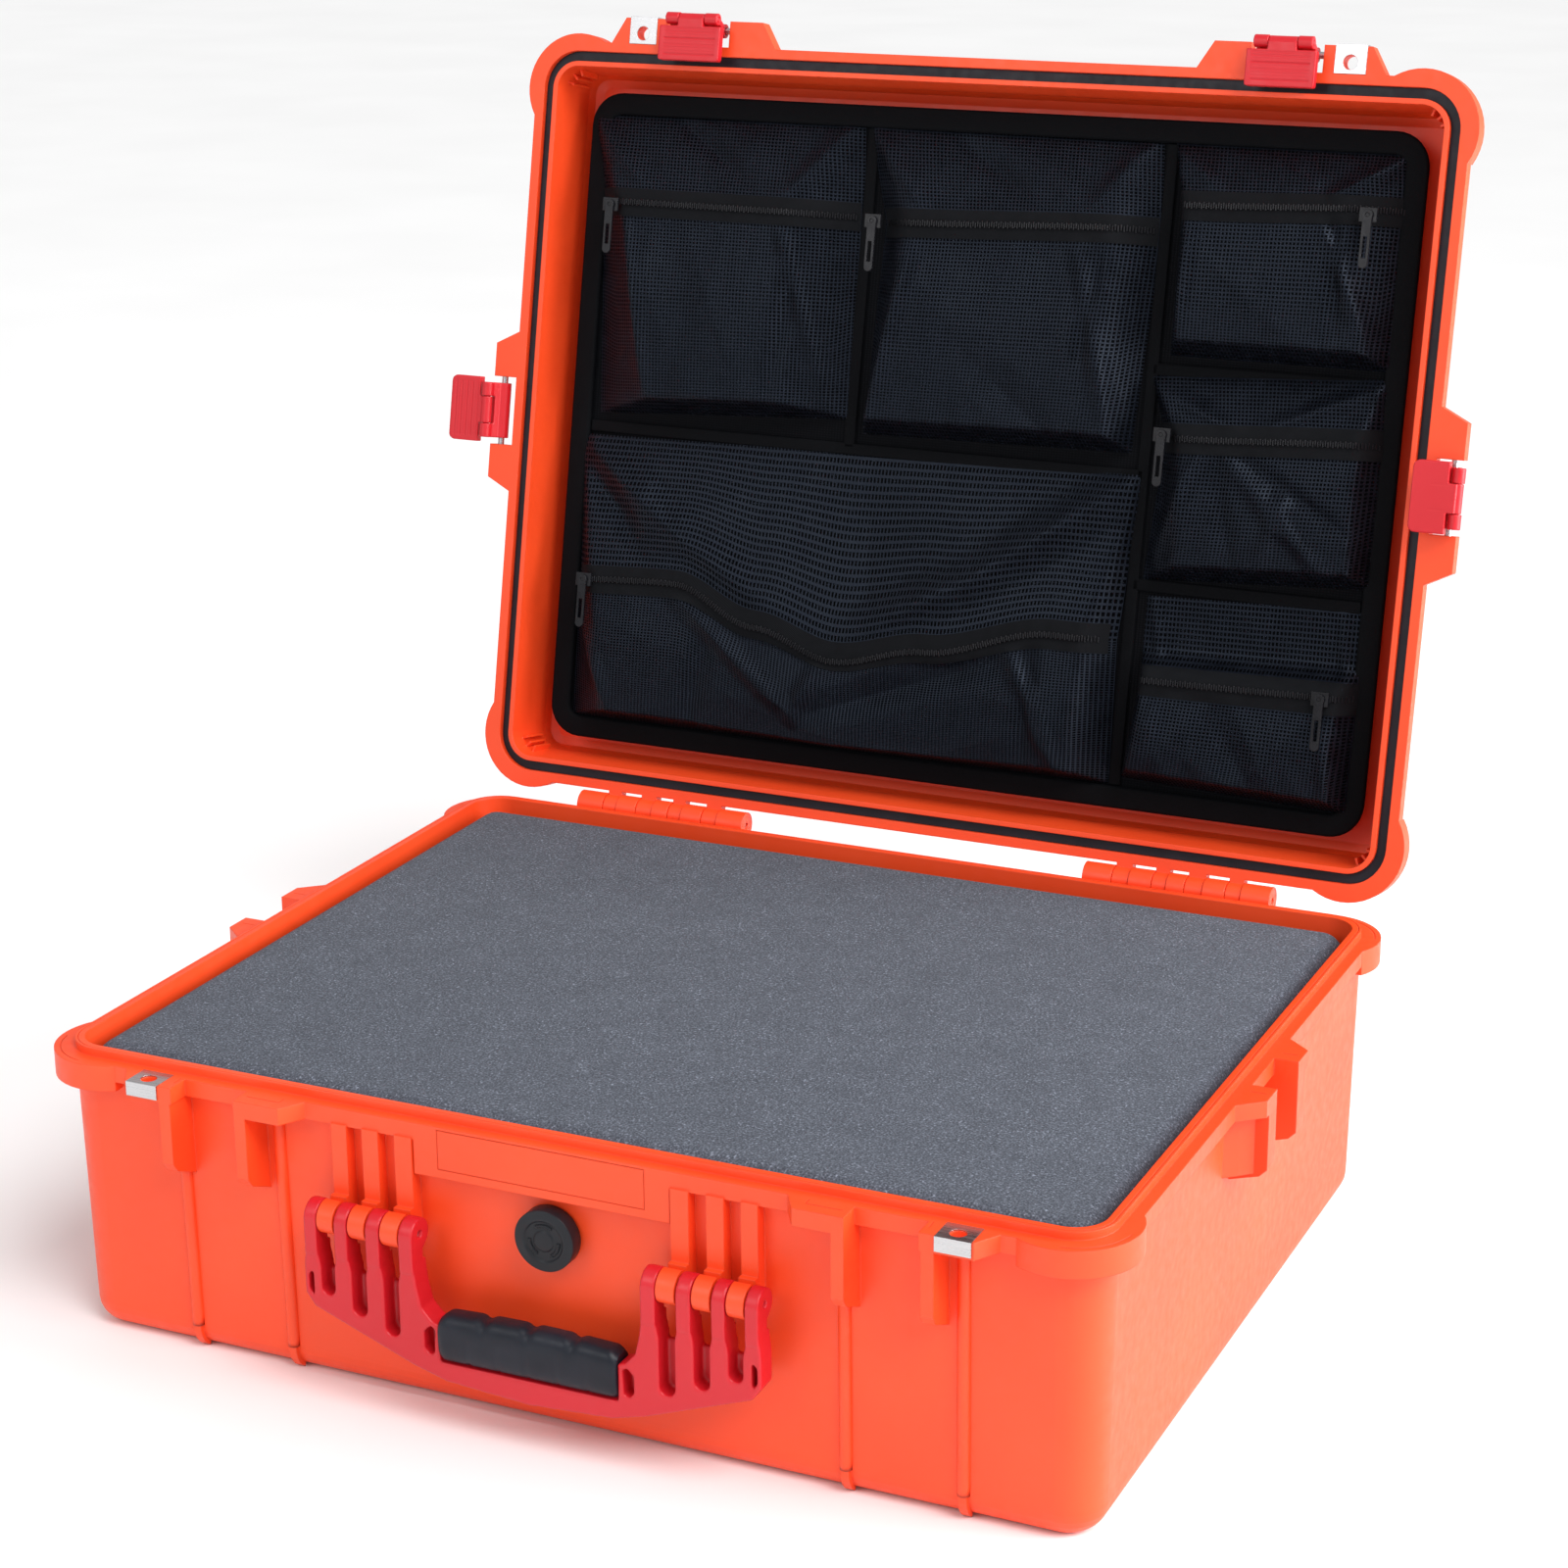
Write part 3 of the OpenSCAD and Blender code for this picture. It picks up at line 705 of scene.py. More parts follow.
class ClothGrid:
    """A sheet laid out as a grid, with its flat coordinates in metres."""

    @staticmethod
    def make(name: str, across: int, along: int, place: Callable[[float, float], Vector],
             size: Spot) -> bpy.types.Object:
        """Build the sheet.

        Args:
            name: the piece's name.
            across: cells across.
            along: cells along.
            place: point of the sheet at two fractions.
            size: flat width and length, for its coordinates.

        Returns:
            The object.
        """
        points, faces, flat = [], [], []
        for j in range(along + 1):
            for i in range(across + 1):
                points.append(place(i / across, j / along))
                flat.append((i / across * size[0], j / along * size[1]))
        row = across + 1
        for j in range(along):
            for i in range(across):
                a = j * row + i
                faces.append((a, a + row, a + row + 1, a + 1))
        mesh = bpy.data.meshes.new(name)
        mesh.from_pydata([tuple(p) for p in points], [], faces)
        layer = mesh.uv_layers.new(name="flat")
        for loop in mesh.loops:
            layer.data[loop.index].uv = flat[loop.vertex_index]
        piece = bpy.data.objects.new(name, mesh)
        bpy.context.collection.objects.link(piece)
        Hand.take(piece)
        bpy.ops.object.shade_smooth()
        return piece


# ---------------------------------------------------------------- the case


@dataclass(frozen=True)
class LidPlace:
    """Turns places drawn with the lid shut into the open lid's places."""

    hinge_y: float
    hinge_z: float
    face_z: float
    angle: float
    plate_recess = 1.8 * MM

    @staticmethod
    def read() -> "LidPlace":
        """Read the hinge from the record's lid joint.

        Returns:
            The place.
        """
        for joint in frame["record"]["behaviour"]["joints"]:
            if joint["name"] == "lid_hinge":
                y, z = joint["pos_m"][1:]
                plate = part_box("nameplate")
                face_z = plate[1].z + LidPlace.plate_recess
                return LidPlace(y, z, face_z, math.radians(joint["range_deg"][1]))
        raise RuntimeError("the record has no lid_hinge")

    def matrix(self) -> Matrix:
        """The turn from shut to open, for points with z over the closing face.

        Returns:
            The matrix.
        """
        there = Matrix.Translation((0, self.hinge_y, self.hinge_z))
        back = Matrix.Translation((0, -self.hinge_y, self.face_z - self.hinge_z))
        return there @ Matrix.Rotation(-self.angle, 4, "X") @ back


@dataclass
class FoamFill:
    """The foam layers that fill the base, and the thin pad under them."""

    finishes: Finishes
    corner: float = 12.6 * MM
    edge: float = 1.6 * MM

    def build(self) -> None:
        """Cut the three blocks of foam."""
        for node, fill in (("foam_upper", 1.0), ("foam_lower", 1.0), ("foam_base_pad", 0.9)):
            low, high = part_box(node)
            block = Hand.box(node + "_block", low, high)
            Hand.round_corners(block, self.corner)
            Hand.soften(block, self.edge, 3, 60.0)
            self.finishes.dress(block, "foam")
            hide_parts(node)
            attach(block, "base")
            LOG.info("foam %s", node)


@dataclass
class RoundedMouldings:
    """Moulded parts whose edges are rounded all over: handle frame, clips and levers."""

    finishes: Finishes
    frame_step: float = 0.75 * MM
    latch_step: float = 0.42 * MM
    frame_passes: int = 5
    latch_passes: int = 2

    def build(self) -> None:
        """Round each part in turn."""
        bodies = frame["record"]["behaviour"]["bodies"]
        for body, nodes in bodies.items():
            for node in nodes:
                if node == "handle_frame":
                    self.round_off(node, body, self.frame_step, self.frame_passes)
                elif node.startswith(("clip_", "lever_")):
                    self.round_off(node, body, self.latch_step, self.latch_passes)

    def round_off(self, node: str, body: str, step: float, passes: int) -> None:
        """Make a copy of a node with its edges worn round.

        Args:
            node: the frame's solid.
            body: what the copy rides on.
            step: size of the remade faces.
            passes: of smoothing.
        """
        part = Hand.copy(frame["nodes"][node], node + "_moulding", frame["nodes"][node].matrix_world)
        Hand.pick(part, "VERT", lambda c, n: True)
        bpy.ops.mesh.remove_doubles(threshold=0.002 * MM)
        Hand.done()
        grain = part.modifiers.new("remade", "REMESH")
        grain.mode, grain.voxel_size = "VOXEL", step
        bpy.ops.object.modifier_apply(modifier=grain.name)
        worn = part.modifiers.new("worn", "SMOOTH")
        worn.factor, worn.iterations = 0.5, passes
        bpy.ops.object.modifier_apply(modifier=worn.name)
        bpy.ops.object.shade_smooth_by_angle(angle=math.radians(60))
        self.finishes.dress(part, "red_parts")
        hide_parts(node)
        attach(part, body)
        LOG.info("%s with %d faces", part.name, len(part.data.polygons))


@dataclass
class WallRibs:
    """Half-round stiffening ribs that run down the front and wrap under its edge."""

    finishes: Finishes
    radius: float = 3.3 * MM
    places: Sequence[float] = (-209.0, -151.0, 157.0, 217.0)
    bend: float = 14.0 * MM
    draft: float = 2.2 * MM
    wrap: float = 50.0
    plate_stand: float = 6.1 * MM
    top_drop: float = 7.0 * MM

    def build(self) -> None:
        """Sweep the four ribs and join them."""
        low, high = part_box("nameplate")
        wall = low.y + self.plate_stand
        top = high.z - self.top_drop
        ribs = []
        for place in self.places:
            foot = (place * MM, wall + self.draft, self.bend)
            Hand.clear()
            bpy.ops.mesh.primitive_circle_add(vertices=24, radius=self.radius, fill_type="NGON",
                                              location=foot)
            rib = Hand.fix(bpy.context.object, "rib")
            Hand.pick(rib, "FACE", lambda c, n: True)
            bpy.ops.mesh.extrude_region_move(
                TRANSFORM_OT_translate={"value": (0, -self.draft, top - self.bend)})
            Hand.done()
            Hand.pick(rib, "VERT", lambda c, n: c.z < self.bend + 0.1 * MM)
            bpy.ops.mesh.spin(steps=9, angle=math.radians(self.wrap), axis=(1, 0, 0),
                              center=(place * MM, wall + self.draft + self.bend, self.bend))
            Hand.done()
            Hand.pick(rib, "VERT", lambda c, n: True)
            bpy.ops.mesh.remove_doubles(threshold=0.01 * MM)
            bpy.ops.mesh.normals_make_consistent(inside=False)
            Hand.done()
            ribs.append(rib)
        whole = Hand.soften(Hand.join(ribs, "wall_ribs"), 0.8 * MM, 2, 60.0)
        self.finishes.dress(whole, "orange_shell")
        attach(whole, "base")
        LOG.info("ribs")


@dataclass
class GripCover:
    """The rubber grip with its finger rolls."""

    finishes: Finishes
    rings: int = 60
    rolls: int = 4
    grooves: int = 6

    def build(self) -> None:
        """Turn a cylinder into the rolled grip."""
        low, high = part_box("handle_grip")
        middle = (low + high) / 2
        length = high.x - low.x
        grip = Hand.rod("grip_cover", middle, 1.0, length, "X", 40)
        for k in range(1, self.rings):
            Hand.pick(grip, "FACE", lambda c, n: True)
            bpy.ops.mesh.bisect(plane_co=(low.x + length * k / self.rings, 0, 0), plane_no=(1, 0, 0))
            Hand.done()
        half_y, half_z = (high.y - low.y) / 2, (high.z - low.z) / 2
        for vert in grip.data.vertices:
            along = (vert.co.x - low.x) / length
            y, z = vert.co.y - middle.y, vert.co.z - middle.z
            angle = math.atan2(z, y)
            roll = abs((along * self.rolls) % 1.0 - 0.5) * 2
            ends = smooth(0.0, 0.025, along) * smooth(1.0, 0.975, along)
            top = smooth(0.1, 0.9, math.sin(angle))
            dip = 0.13 * smooth(0.62, 1.0, roll) * top
            cut = abs((along * self.grooves + 0.5) % 1.0 - 0.5)
            line = 0.035 * smooth(0.07, 0.03, cut) * smooth(0.5, -0.2, math.sin(angle))
            swell = (1.0 - dip - line) * (0.90 + 0.10 * ends)
            crown = 1.0 - 0.12 * (2 * along - 1) ** 2 * top
            square = 1.0 / max(abs(math.cos(angle)) ** 3 + abs(math.sin(angle)) ** 3, 0.2) ** (1 / 3)
            vert.co.y = middle.y + half_y * square * 0.99 * swell * math.cos(angle)
            vert.co.z = middle.z + half_z * square * 0.99 * swell * crown * math.sin(angle)
        Hand.soften(grip, 0.5 * MM, 2, 60.0)
        self.finishes.dress(grip, "grip_rubber")
        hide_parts("handle_grip")
        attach(grip, "handle")
        LOG.info("grip")


@dataclass
class ValveFace:
    """The valve's cap: a stepped face and three curved vents.

    A step is an inset, as a share of the radius, and how far its face then moves.
    """

    finishes: Finishes
    steps: Sequence[Spot] = ((0.10, 0.0), (0.12, -0.6 * MM), (0.10, 0.0), (0.05, 0.9 * MM),
                             (0.28, 0.0), (0.04, -0.7 * MM))
    vents: int = 3
    vent_blocks: int = 7
    vent_low: Vector = field(default_factory=lambda: Vector((0.9, 0.5, 0.7)) * MM)
    vent_high: Vector = field(default_factory=lambda: Vector((0.9, 0.2, 0.7)) * MM)

    @staticmethod
    def off_axis(place: Vector, middle: Vector) -> float:
        """Distance of a place from the cap's axis.

        Args:
            place: the place.
            middle: the cap's centre.

        Returns:
            The distance, in metres.
        """
        return (Vector((place.x, 0, place.z)) - Vector((middle.x, 0, middle.z))).length

    def build(self) -> None:
        """Model the cap."""
        low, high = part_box("valve_cap")
        middle = (low + high) / 2
        radius = (high.x - low.x) / 2
        depth = high.y - low.y
        cap = Hand.rod("valve_face", middle, radius, depth, "Y", 96)
        front = low.y
        for inset, lift in self.steps:
            Hand.pick(cap, "FACE", lambda c, n: n.y < -0.9 and self.off_axis(c, middle) < 0.3 * MM)
            bpy.ops.mesh.inset(thickness=radius * inset)
            if lift:
                bpy.ops.transform.translate(value=(0, lift, 0))
            Hand.done()
        Hand.soften(cap, 0.25 * MM, 2, 25.0)
        vents = []
        for k in range(self.vents):
            for step in range(self.vent_blocks):
                a = math.radians(90 + k * 120 + (step - 3) * 9)
                place = middle + Vector((math.cos(a) * radius * 0.50, 0, math.sin(a) * radius * 0.50))
                place.y = front + 0.1 * MM
                vents.append(Hand.box("vent", place - self.vent_low, place + self.vent_high))
        raised = Hand.soften(Hand.join(vents, "valve_vents"), 0.2 * MM, 1, 40.0)
        whole = Hand.join([cap, raised], "valve_face")
        self.finishes.dress(whole, "valve_black")
        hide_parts("valve_cap")
        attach(whole, "base")
        LOG.info("valve face")


@dataclass
class Pocket:
    """One mesh pocket, in mm on the shut lid.

    The shoulders are how far in from the left and right seams the bag reaches its
    full depth, at its top and at its foot. A crease is a line, its height and its
    width, and crease_gain makes all of them higher or lower together.
    """

    name: str
    corners: Sequence[Tuple[float, float]]
    zip_line: Sequence[Tuple[float, float]]
    shoulders: Tuple[float, float, float, float]
    creases: Sequence[Tuple[float, float, float, float, float, float]]
    seed: int
    swell: float = 22.0
    tuck: float = 6.0
    open_mouth: bool = False
    crease_gain: float = 1.35

    def crease_at(self, x: float, y: float) -> float:
        """Height the creases add at a place.

        Args:
            x: across the lid.
            y: down the lid.

        Returns:
            The height.
        """
        total = 0.0
        for x0, y0, x1, y1, height, width in self.creases:
            dx, dy = x1 - x0, y1 - y0
            part = max(0.0, min(1.0, ((x - x0) * dx + (y - y0) * dy) / (dx * dx + dy * dy)))
            away = math.hypot(x - x0 - part * dx, y - y0 - part * dy)
            fade = max(0.0, 1.0 - away / width) ** 1.3
            total += self.crease_gain * height * fade * (0.35 + 0.65 * math.sin(math.pi * part))
        return total

    def zip_y(self, x: float) -> float:
        """Height of the zip line at a place across.

        Args:
            x: across the lid, in mm.

        Returns:
            The line's y, in mm.
        """
        line = self.zip_line
        if x <= line[0][0]:
            return line[0][1]
        for (x0, y0), (x1, y1) in zip(line, line[1:]):
            if x <= x1:
                part = smooth(0, 1, (x - x0) / (x1 - x0))
                return y0 + (y1 - y0) * part
        return line[-1][1]


@dataclass
class Organizer:
    """The zipped organizer in the lid: board, border, dividers, pockets and zips."""

    finishes: Finishes
    lid: LidPlace
    board_z: float = 29.0
    tape: float = 17.0
    cell: float = 2.2
    zip_part: float = 0.3
    gather: Spot = (1.12, 1.22)
    border: float = 13.0
    tooth_pitch: float = 1.5
    tooth_half: Point = (0.45 * MM, 1.7 * MM, 0.45 * MM)
    tooth_stagger: float = 0.3 * MM
    tooth_lift: float = 0.4 * MM
    pockets: List[Pocket] = field(default_factory=list)

    def __post_init__(self) -> None:
        """List the pockets, with the hinge side at plus y."""
        self.pockets = [
            Pocket("top_left", ((-262, -186), (-80, -187), (-73, -13), (-244, -4)),
                   ((-252, -133), (-76, -133)), (16, 42, 52, 46),
                   ((-262, -186, -212, -140, 3.0, 12), (-88, -184, -126, -136, 3.5, 12),
                    (-205, -186, -150, -150, -2.5, 9), (-124, -128, -88, -20, 2.5, 7),
                    (-110, -120, -124, -18, -2.6, 8), (-228, -122, -206, -22, 2.2, 7)), 3),
            Pocket("top_middle", ((-77, -187), (107, -186), (104, -8), (-66, -5)),
                   ((-62, -131), (111, -136)), (30, 7, 38, 12),
                   ((-72, -184, -30, -138, 3.2, 12), (98, -184, 70, -140, 3.4, 12),
                    (-20, -184, 30, -150, -2.6, 12), (-34, -124, -60, -14, 2.4, 8),
                    (66, -126, 96, -16, 2.8, 8), (0, -60, 60, -14, -2.0, 16),
                    (80, -124, 74, -60, -2.4, 7)), 5),
            Pocket("top_right", ((114, -187), (253, -187), (254, -66), (122, -66)),
                   ((121, -151), (255, -155)), (8, 9, 46, 14),
                   ((250, -184, 204, -154, 3.6, 9), (118, -184, 150, -158, 2.6, 9),
                    (208, -148, 244, -76, 3.0, 7), (216, -146, 222, -84, -2.8, 7),
                    (206, -166, 216, -140, -3.4, 6), (134, -138, 126, -74, 2.2, 8)), 8),
            Pocket("right_middle", ((112, -54), (254, -62), (254, 57), (118, 64)),
                   ((124, -19), (255, -24)), (12, 26, 18, 10),
                   ((116, -48, 172, -26, 3.0, 8), (250, -56, 186, -28, 3.6, 8),
                    (165, -12, 232, 52, 3.6, 8),
                    (178, -10, 246, 30, -3.0, 8), (150, -10, 124, 50, 2.8, 8), (160, -8, 176, 56, -2.6, 9),
                    (206, 0, 190, 56, 2.2, 8)), 11),
            Pocket("right_low", ((122, 73), (254, 69), (254, 186), (116, 181)),
                   ((122, 121), (255, 119)), (9, 7, 13, 10),
                   ((240, 74, 246, 118, 2.6, 6), (128, 76, 134, 116, 2.4, 6), (140, 132, 128, 176, 2.2, 8),
                    (236, 130, 246, 178, 2.4, 8), (170, 132, 200, 178, -1.8, 14)), 13, 22.0, 6.0, True),
            Pocket("large", ((-254, 10), (114, 4), (109, 186), (-248, 186)),
                   ((-250, 99), (-174, 96), (-119, 117), (-65, 132), (-8, 120), (71, 101), (106, 101)),
                   (14, 30, 16, 22),
                   ((-250, 12, -176, 66, 6.5, 17), (-176, 66, -104, 112, 6.5, 17),
                    (110, 8, 20, 72, 6.5, 17),
                    (20, 72, -62, 120, 6.0, 17), (-60, 20, -50, 110, -3.0, 60),
                    (-244, 30, -190, 92, -3.0, 12),
                    (-172, 104, -88, 168, 4.6, 9), (-88, 168, -76, 138, 3.2, 8),
                    (-88, 168, 40, 120, -3.0, 14),
                    (-246, 116, -214, 176, 2.6, 10), (46, 112, 84, 182, 4.4, 8),
                    (58, 110, 60, 176, -3.2, 9),
                    (-150, 128, -160, 180, -2.6, 12)), 17, 22.5),
        ]

    def place(self, x: float, y: float, z: float) -> Vector:
        """Open-lid point of a place on the shut lid in mm."""
        return self.lid.matrix() @ Vector((x * MM, y * MM, z * MM))

    def finish(self, piece: bpy.types.Object, slot: str, body: str = "lid") -> None:
        """Dress a piece and let it ride."""
        self.finishes.dress(piece, slot)
        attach(piece, body)

    def bag_out(self, pocket: Pocket, u: float, v: float, x: float, y: float) -> float:
        """How far a pocket stands off the board, in mm.

        Args:
            pocket: the pocket.
            u: across, 0 to 1.
            v: down, 0 to 1, with the zip at zip_part.
            x: across the lid.
            y: down the lid.

        Returns:
            The distance.
        """
        (ax, ay), (bx, by), (cx, cy), (dx, dy) = pocket.corners
        wide = (bx - ax) * (1 - v) + (cx - dx) * v
        tall = dy - ay
        left_top, left_low, right_top, right_low = pocket.shoulders
        left = u * wide / (left_top + (left_low - left_top) * v)
        right = (1 - u) * wide / (right_top + (right_low - right_top) * v)
        foot = (1 - v) * tall / 10.0
        zip_at = self.zip_part
        if v < zip_at:
            part = v / zip_at
            cap = 0.05 + 0.81 * (smooth(0.62, 1.0, part) if pocket.open_mouth else part ** 0.85)
        else:
            cap = 0.86 + 0.14 * smooth(zip_at, 0.62, v) - 0.05 * smooth(0.7, 1.0, v)
        planes = sorted((cap, left, right, foot))
        rise = planes[0] - 0.05 * math.exp(-(planes[1] - planes[0]) / 0.06)
        waves = 0.0
        rng = random.Random(pocket.seed)
        for _ in range(6):
            angle, shift = rng.uniform(-0.9, 0.9), rng.uniform(0, 6.28)
            count, power = rng.uniform(4.0, 9.0), rng.uniform(0.3, 1.0)
            ridge = 1.0 - abs(math.sin((u * math.cos(angle) + v * math.sin(angle)) * count + shift))
            waves += power * (ridge ** 2 - 0.33)
        held = smooth(0.0, 0.12, u) * smooth(1.0, 0.88, u) * smooth(0.0, 0.1, v) * smooth(1.0, 0.92, v)
        near_zip = smooth(0.02, 0.10, abs(v - zip_at))
        folds = pocket.crease_at(x, y) * smooth(0.0, 0.03, u) * smooth(1.0, 0.97, u)
        folds *= 0.04 + 0.96 * near_zip
        return max(0.2, min(pocket.swell + 3.0, pocket.swell * rise + waves * held * near_zip + folds))

    def pocket_point(self, pocket: Pocket, u: float, v: float, lift: float = 0.0) -> Vector:
        """Point of a pocket's cloth.

        Args:
            pocket: the pocket.
            u: across.
            v: down.
            lift: mm further from the board.

        Returns:
            The open-lid point.
        """
        (ax, ay), (bx, by), (cx, cy), (dx, dy) = pocket.corners
        top = (ax + (bx - ax) * u, ay + (by - ay) * u)
        low = (dx + (cx - dx) * u, dy + (cy - dy) * u)
        zip_x = pocket.zip_line[0][0] + (pocket.zip_line[-1][0] - pocket.zip_line[0][0]) * u
        mid = (zip_x, pocket.zip_y(zip_x))
        if v < self.zip_part:
            t = v / self.zip_part
            x, y = top[0] + (mid[0] - top[0]) * t, top[1] + (mid[1] - top[1]) * t
        else:
            t = (v - self.zip_part) / (1 - self.zip_part)
            sag = smooth(0.0, 0.8, t)
            x, y = mid[0] + (low[0] - mid[0]) * t, mid[1] + (low[1] - mid[1]) * t
            y += (pocket.tuck * math.sin(math.pi * min(1.0, t)) ** 2 * sag
                  * smooth(0, 0.1, u) * smooth(1, 0.9, u))
        off = self.bag_out(pocket, u, v, x, y) + lift
        return self.place(x, y, self.board_z - 0.4 - off)

    def build_pockets(self) -> None:
        """Sew the six pockets with their tapes and coils."""
        for pocket in self.pockets:
            wide = max(abs(pocket.corners[1][0] - pocket.corners[0][0]),
                       abs(pocket.corners[2][0] - pocket.corners[3][0])) * MM
            tall = (pocket.corners[3][1] - pocket.corners[0][1]) * MM
            flat = (wide * self.gather[0], tall * self.gather[1])
            across, along = int(wide / MM / self.cell), int(tall / MM / self.cell * 1.2)
            cloth = ClothGrid.make("pocket_%s_mesh" % pocket.name, across, along,
                                   lambda u, v: self.pocket_point(pocket, u, v), flat)
            self.finish(cloth, "mesh_cloth")
            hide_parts("pocket_" + pocket.name)
            LOG.info("pocket %s", pocket.name)
        self.build_zips()

    def build_zips(self) -> None:
        """Lay each zip's two tapes and its coil along the pocket's zip line."""
        coils, tapes = [], []
        for pocket in self.pockets:
            run = pocket.zip_line[-1][0] - pocket.zip_line[0][0]
            half = self.tape / 2
            over = abs(pocket.zip_line[0][1] - pocket.corners[0][1])
            under = abs(pocket.corners[3][1] - pocket.zip_line[0][1])
            span = self.zip_part * half / max(20.0, over)
            low_span = (1 - self.zip_part) * half / max(20.0, under)

            def spot(u: float, w: float, lift: float) -> Vector:
                """Point on the tape at u across and w from its coil, -1 to 1."""
                v = self.zip_part + (w * span if w < 0 else w * low_span)
                return self.pocket_point(pocket, u, v, lift)

            flat = (run * MM, self.tape * MM)
            tape = ClothGrid.make("zip_tape_" + pocket.name, max(20, int(run / 3)), 8,
                                  lambda u, v: spot(0.01 + 0.98 * u, 2 * v - 1, 0.7), flat)
            self.finish(tape, "zip_tape")
            tapes.append(tape)
            count = int(run / self.tooth_pitch)
            for k in range(count):
                u = 0.02 + 0.96 * (k + 0.5) / count
                here = spot(u, 0.0, 1.1)
                ahead = spot(min(1.0, u + 0.004), 0.0, 1.1)
                coils.append((here, (ahead - here).normalized(), k % 2))
        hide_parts("zip_tapes")
        self.build_coils(coils)

    def build_coils(self, places: Sequence[Tuple[Vector, Vector, int]]) -> None:
        """Set a small tooth at each place along the zips.

        Args:
            places: centre, direction along the zip, and which of the two sides.
        """
        tooth = Hand.box("tooth", tuple(-half for half in self.tooth_half), self.tooth_half)
        Hand.soften(tooth, 0.2 * MM, 1, 40.0)
        points = [v.co.copy() for v in tooth.data.vertices]
        loops = [tuple(face.vertices) for face in tooth.data.polygons]
        out = (self.lid.matrix().to_3x3() @ Vector((0, 0, -1))).normalized()
        verts, faces = [], []
        for place, along, side in places:
            cross = out.cross(along).normalized()
            shift = cross * (self.tooth_stagger if side else -self.tooth_stagger)
            base = len(verts)
            for p in points:
                rise = out * (p.z + self.tooth_lift)
                verts.append(tuple(place + shift + along * p.x + cross * p.y + rise))
            faces.extend([tuple(base + i for i in face) for face in loops])
        bpy.data.objects.remove(tooth)
        mesh = bpy.data.meshes.new("zip_coil_teeth")
        mesh.from_pydata(verts, [], faces)
        coil = bpy.data.objects.new("zip_coil_teeth", mesh)
        bpy.context.collection.objects.link(coil)
        self.finish(coil, "zip_black")
        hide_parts("zip_coils")
        LOG.info("zip coils with %d teeth", len(places))

    def flat_plate(self, name: str, half: Spot, radius: float, low: float,
                   high: float) -> bpy.types.Object:
        """A round-cornered plate in the shut lid.

        Args:
            name: the piece's name.
            half: half its width and half its depth, mm.
            radius: of its corners, mm.
            low: lower z, mm.
            high: upper z, mm.

        Returns:
            The object, still in the shut lid's place.
        """
        plate = Hand.box(name, (-half[0] * MM, -half[1] * MM, low * MM),
                         (half[0] * MM, half[1] * MM, high * MM))
        Hand.round_corners(plate, radius * MM)
        return plate

    def flat_uv(self, piece: bpy.types.Object) -> None:
        """Give a piece flat coordinates in metres across the lid."""
        layer = piece.data.uv_layers.get("flat") or piece.data.uv_layers.new(name="flat")
        for loop in piece.data.loops:
            co = piece.data.vertices[loop.vertex_index].co
            layer.data[loop.index].uv = (co.x, co.y)

    def build_board(self) -> None:
        """Make the cloth-covered board, its raised border and the sewn dividers."""
        matrix = self.lid.matrix()
        board = self.flat_plate("organizer_panel_board", (261.5, 198.5), 19.0,
                                self.board_z + 0.2, self.board_z + 4.8)
        Hand.soften(board, 1.6 * MM, 3)
        self.flat_uv(board)
        board.data.transform(matrix)
        self.finish(board, "organizer_cloth")
        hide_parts("organizer_panel")
        half = (262.5, 199.5)
        edge = self.flat_plate("organizer_border_roll", half, 20.0,
                               self.board_z - 4.0, self.board_z + 0.2)
        for down in (True, False):
            Hand.pick(edge, "FACE", lambda c, n: (n.z < -0.9 if down else n.z > 0.9))
            bpy.ops.mesh.inset(thickness=self.border * MM)
            bpy.ops.mesh.delete(type="FACE")
            Hand.done()
        inner_x, inner_y = ((side - self.border + 0.1) * MM for side in half)
        Hand.pick(edge, "EDGE", lambda c, d: abs(c.x) < inner_x and abs(c.y) < inner_y)
        bpy.ops.mesh.bridge_edge_loops()
        Hand.done()
        Hand.take(edge)
        bpy.ops.object.mode_set(mode="EDIT")
        bpy.ops.mesh.select_all(action="SELECT")
        bpy.ops.mesh.normals_make_consistent(inside=False)
        Hand.done()
        Hand.soften(edge, 1.8 * MM, 4)
        self.flat_uv(edge)
        edge.data.transform(matrix)
        self.finish(edge, "organizer_edge")
        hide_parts("organizer_border")
        bars = []
        low, high = self.board_z - 2.0, self.board_z + 0.3
        for x0, y0, x1, y1 in ((-77.5, -186, -70.5, 4), (109, -186, 116, 186), (-249, 1, 113, 8),
                               (112.5, -61, 249, -54), (112.5, 64, 249, 71)):
            bars.append(Hand.box("bar", (x0 * MM, y0 * MM, low * MM), (x1 * MM, y1 * MM, high * MM)))
        strips = Hand.join(bars, "organizer_divider_strips")
        Hand.soften(strips, 0.8 * MM, 3)
        self.flat_uv(strips)
        strips.data.transform(matrix)
        self.finish(strips, "organizer_edge")
        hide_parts("organizer_dividers")
        LOG.info("organizer board, border and dividers")


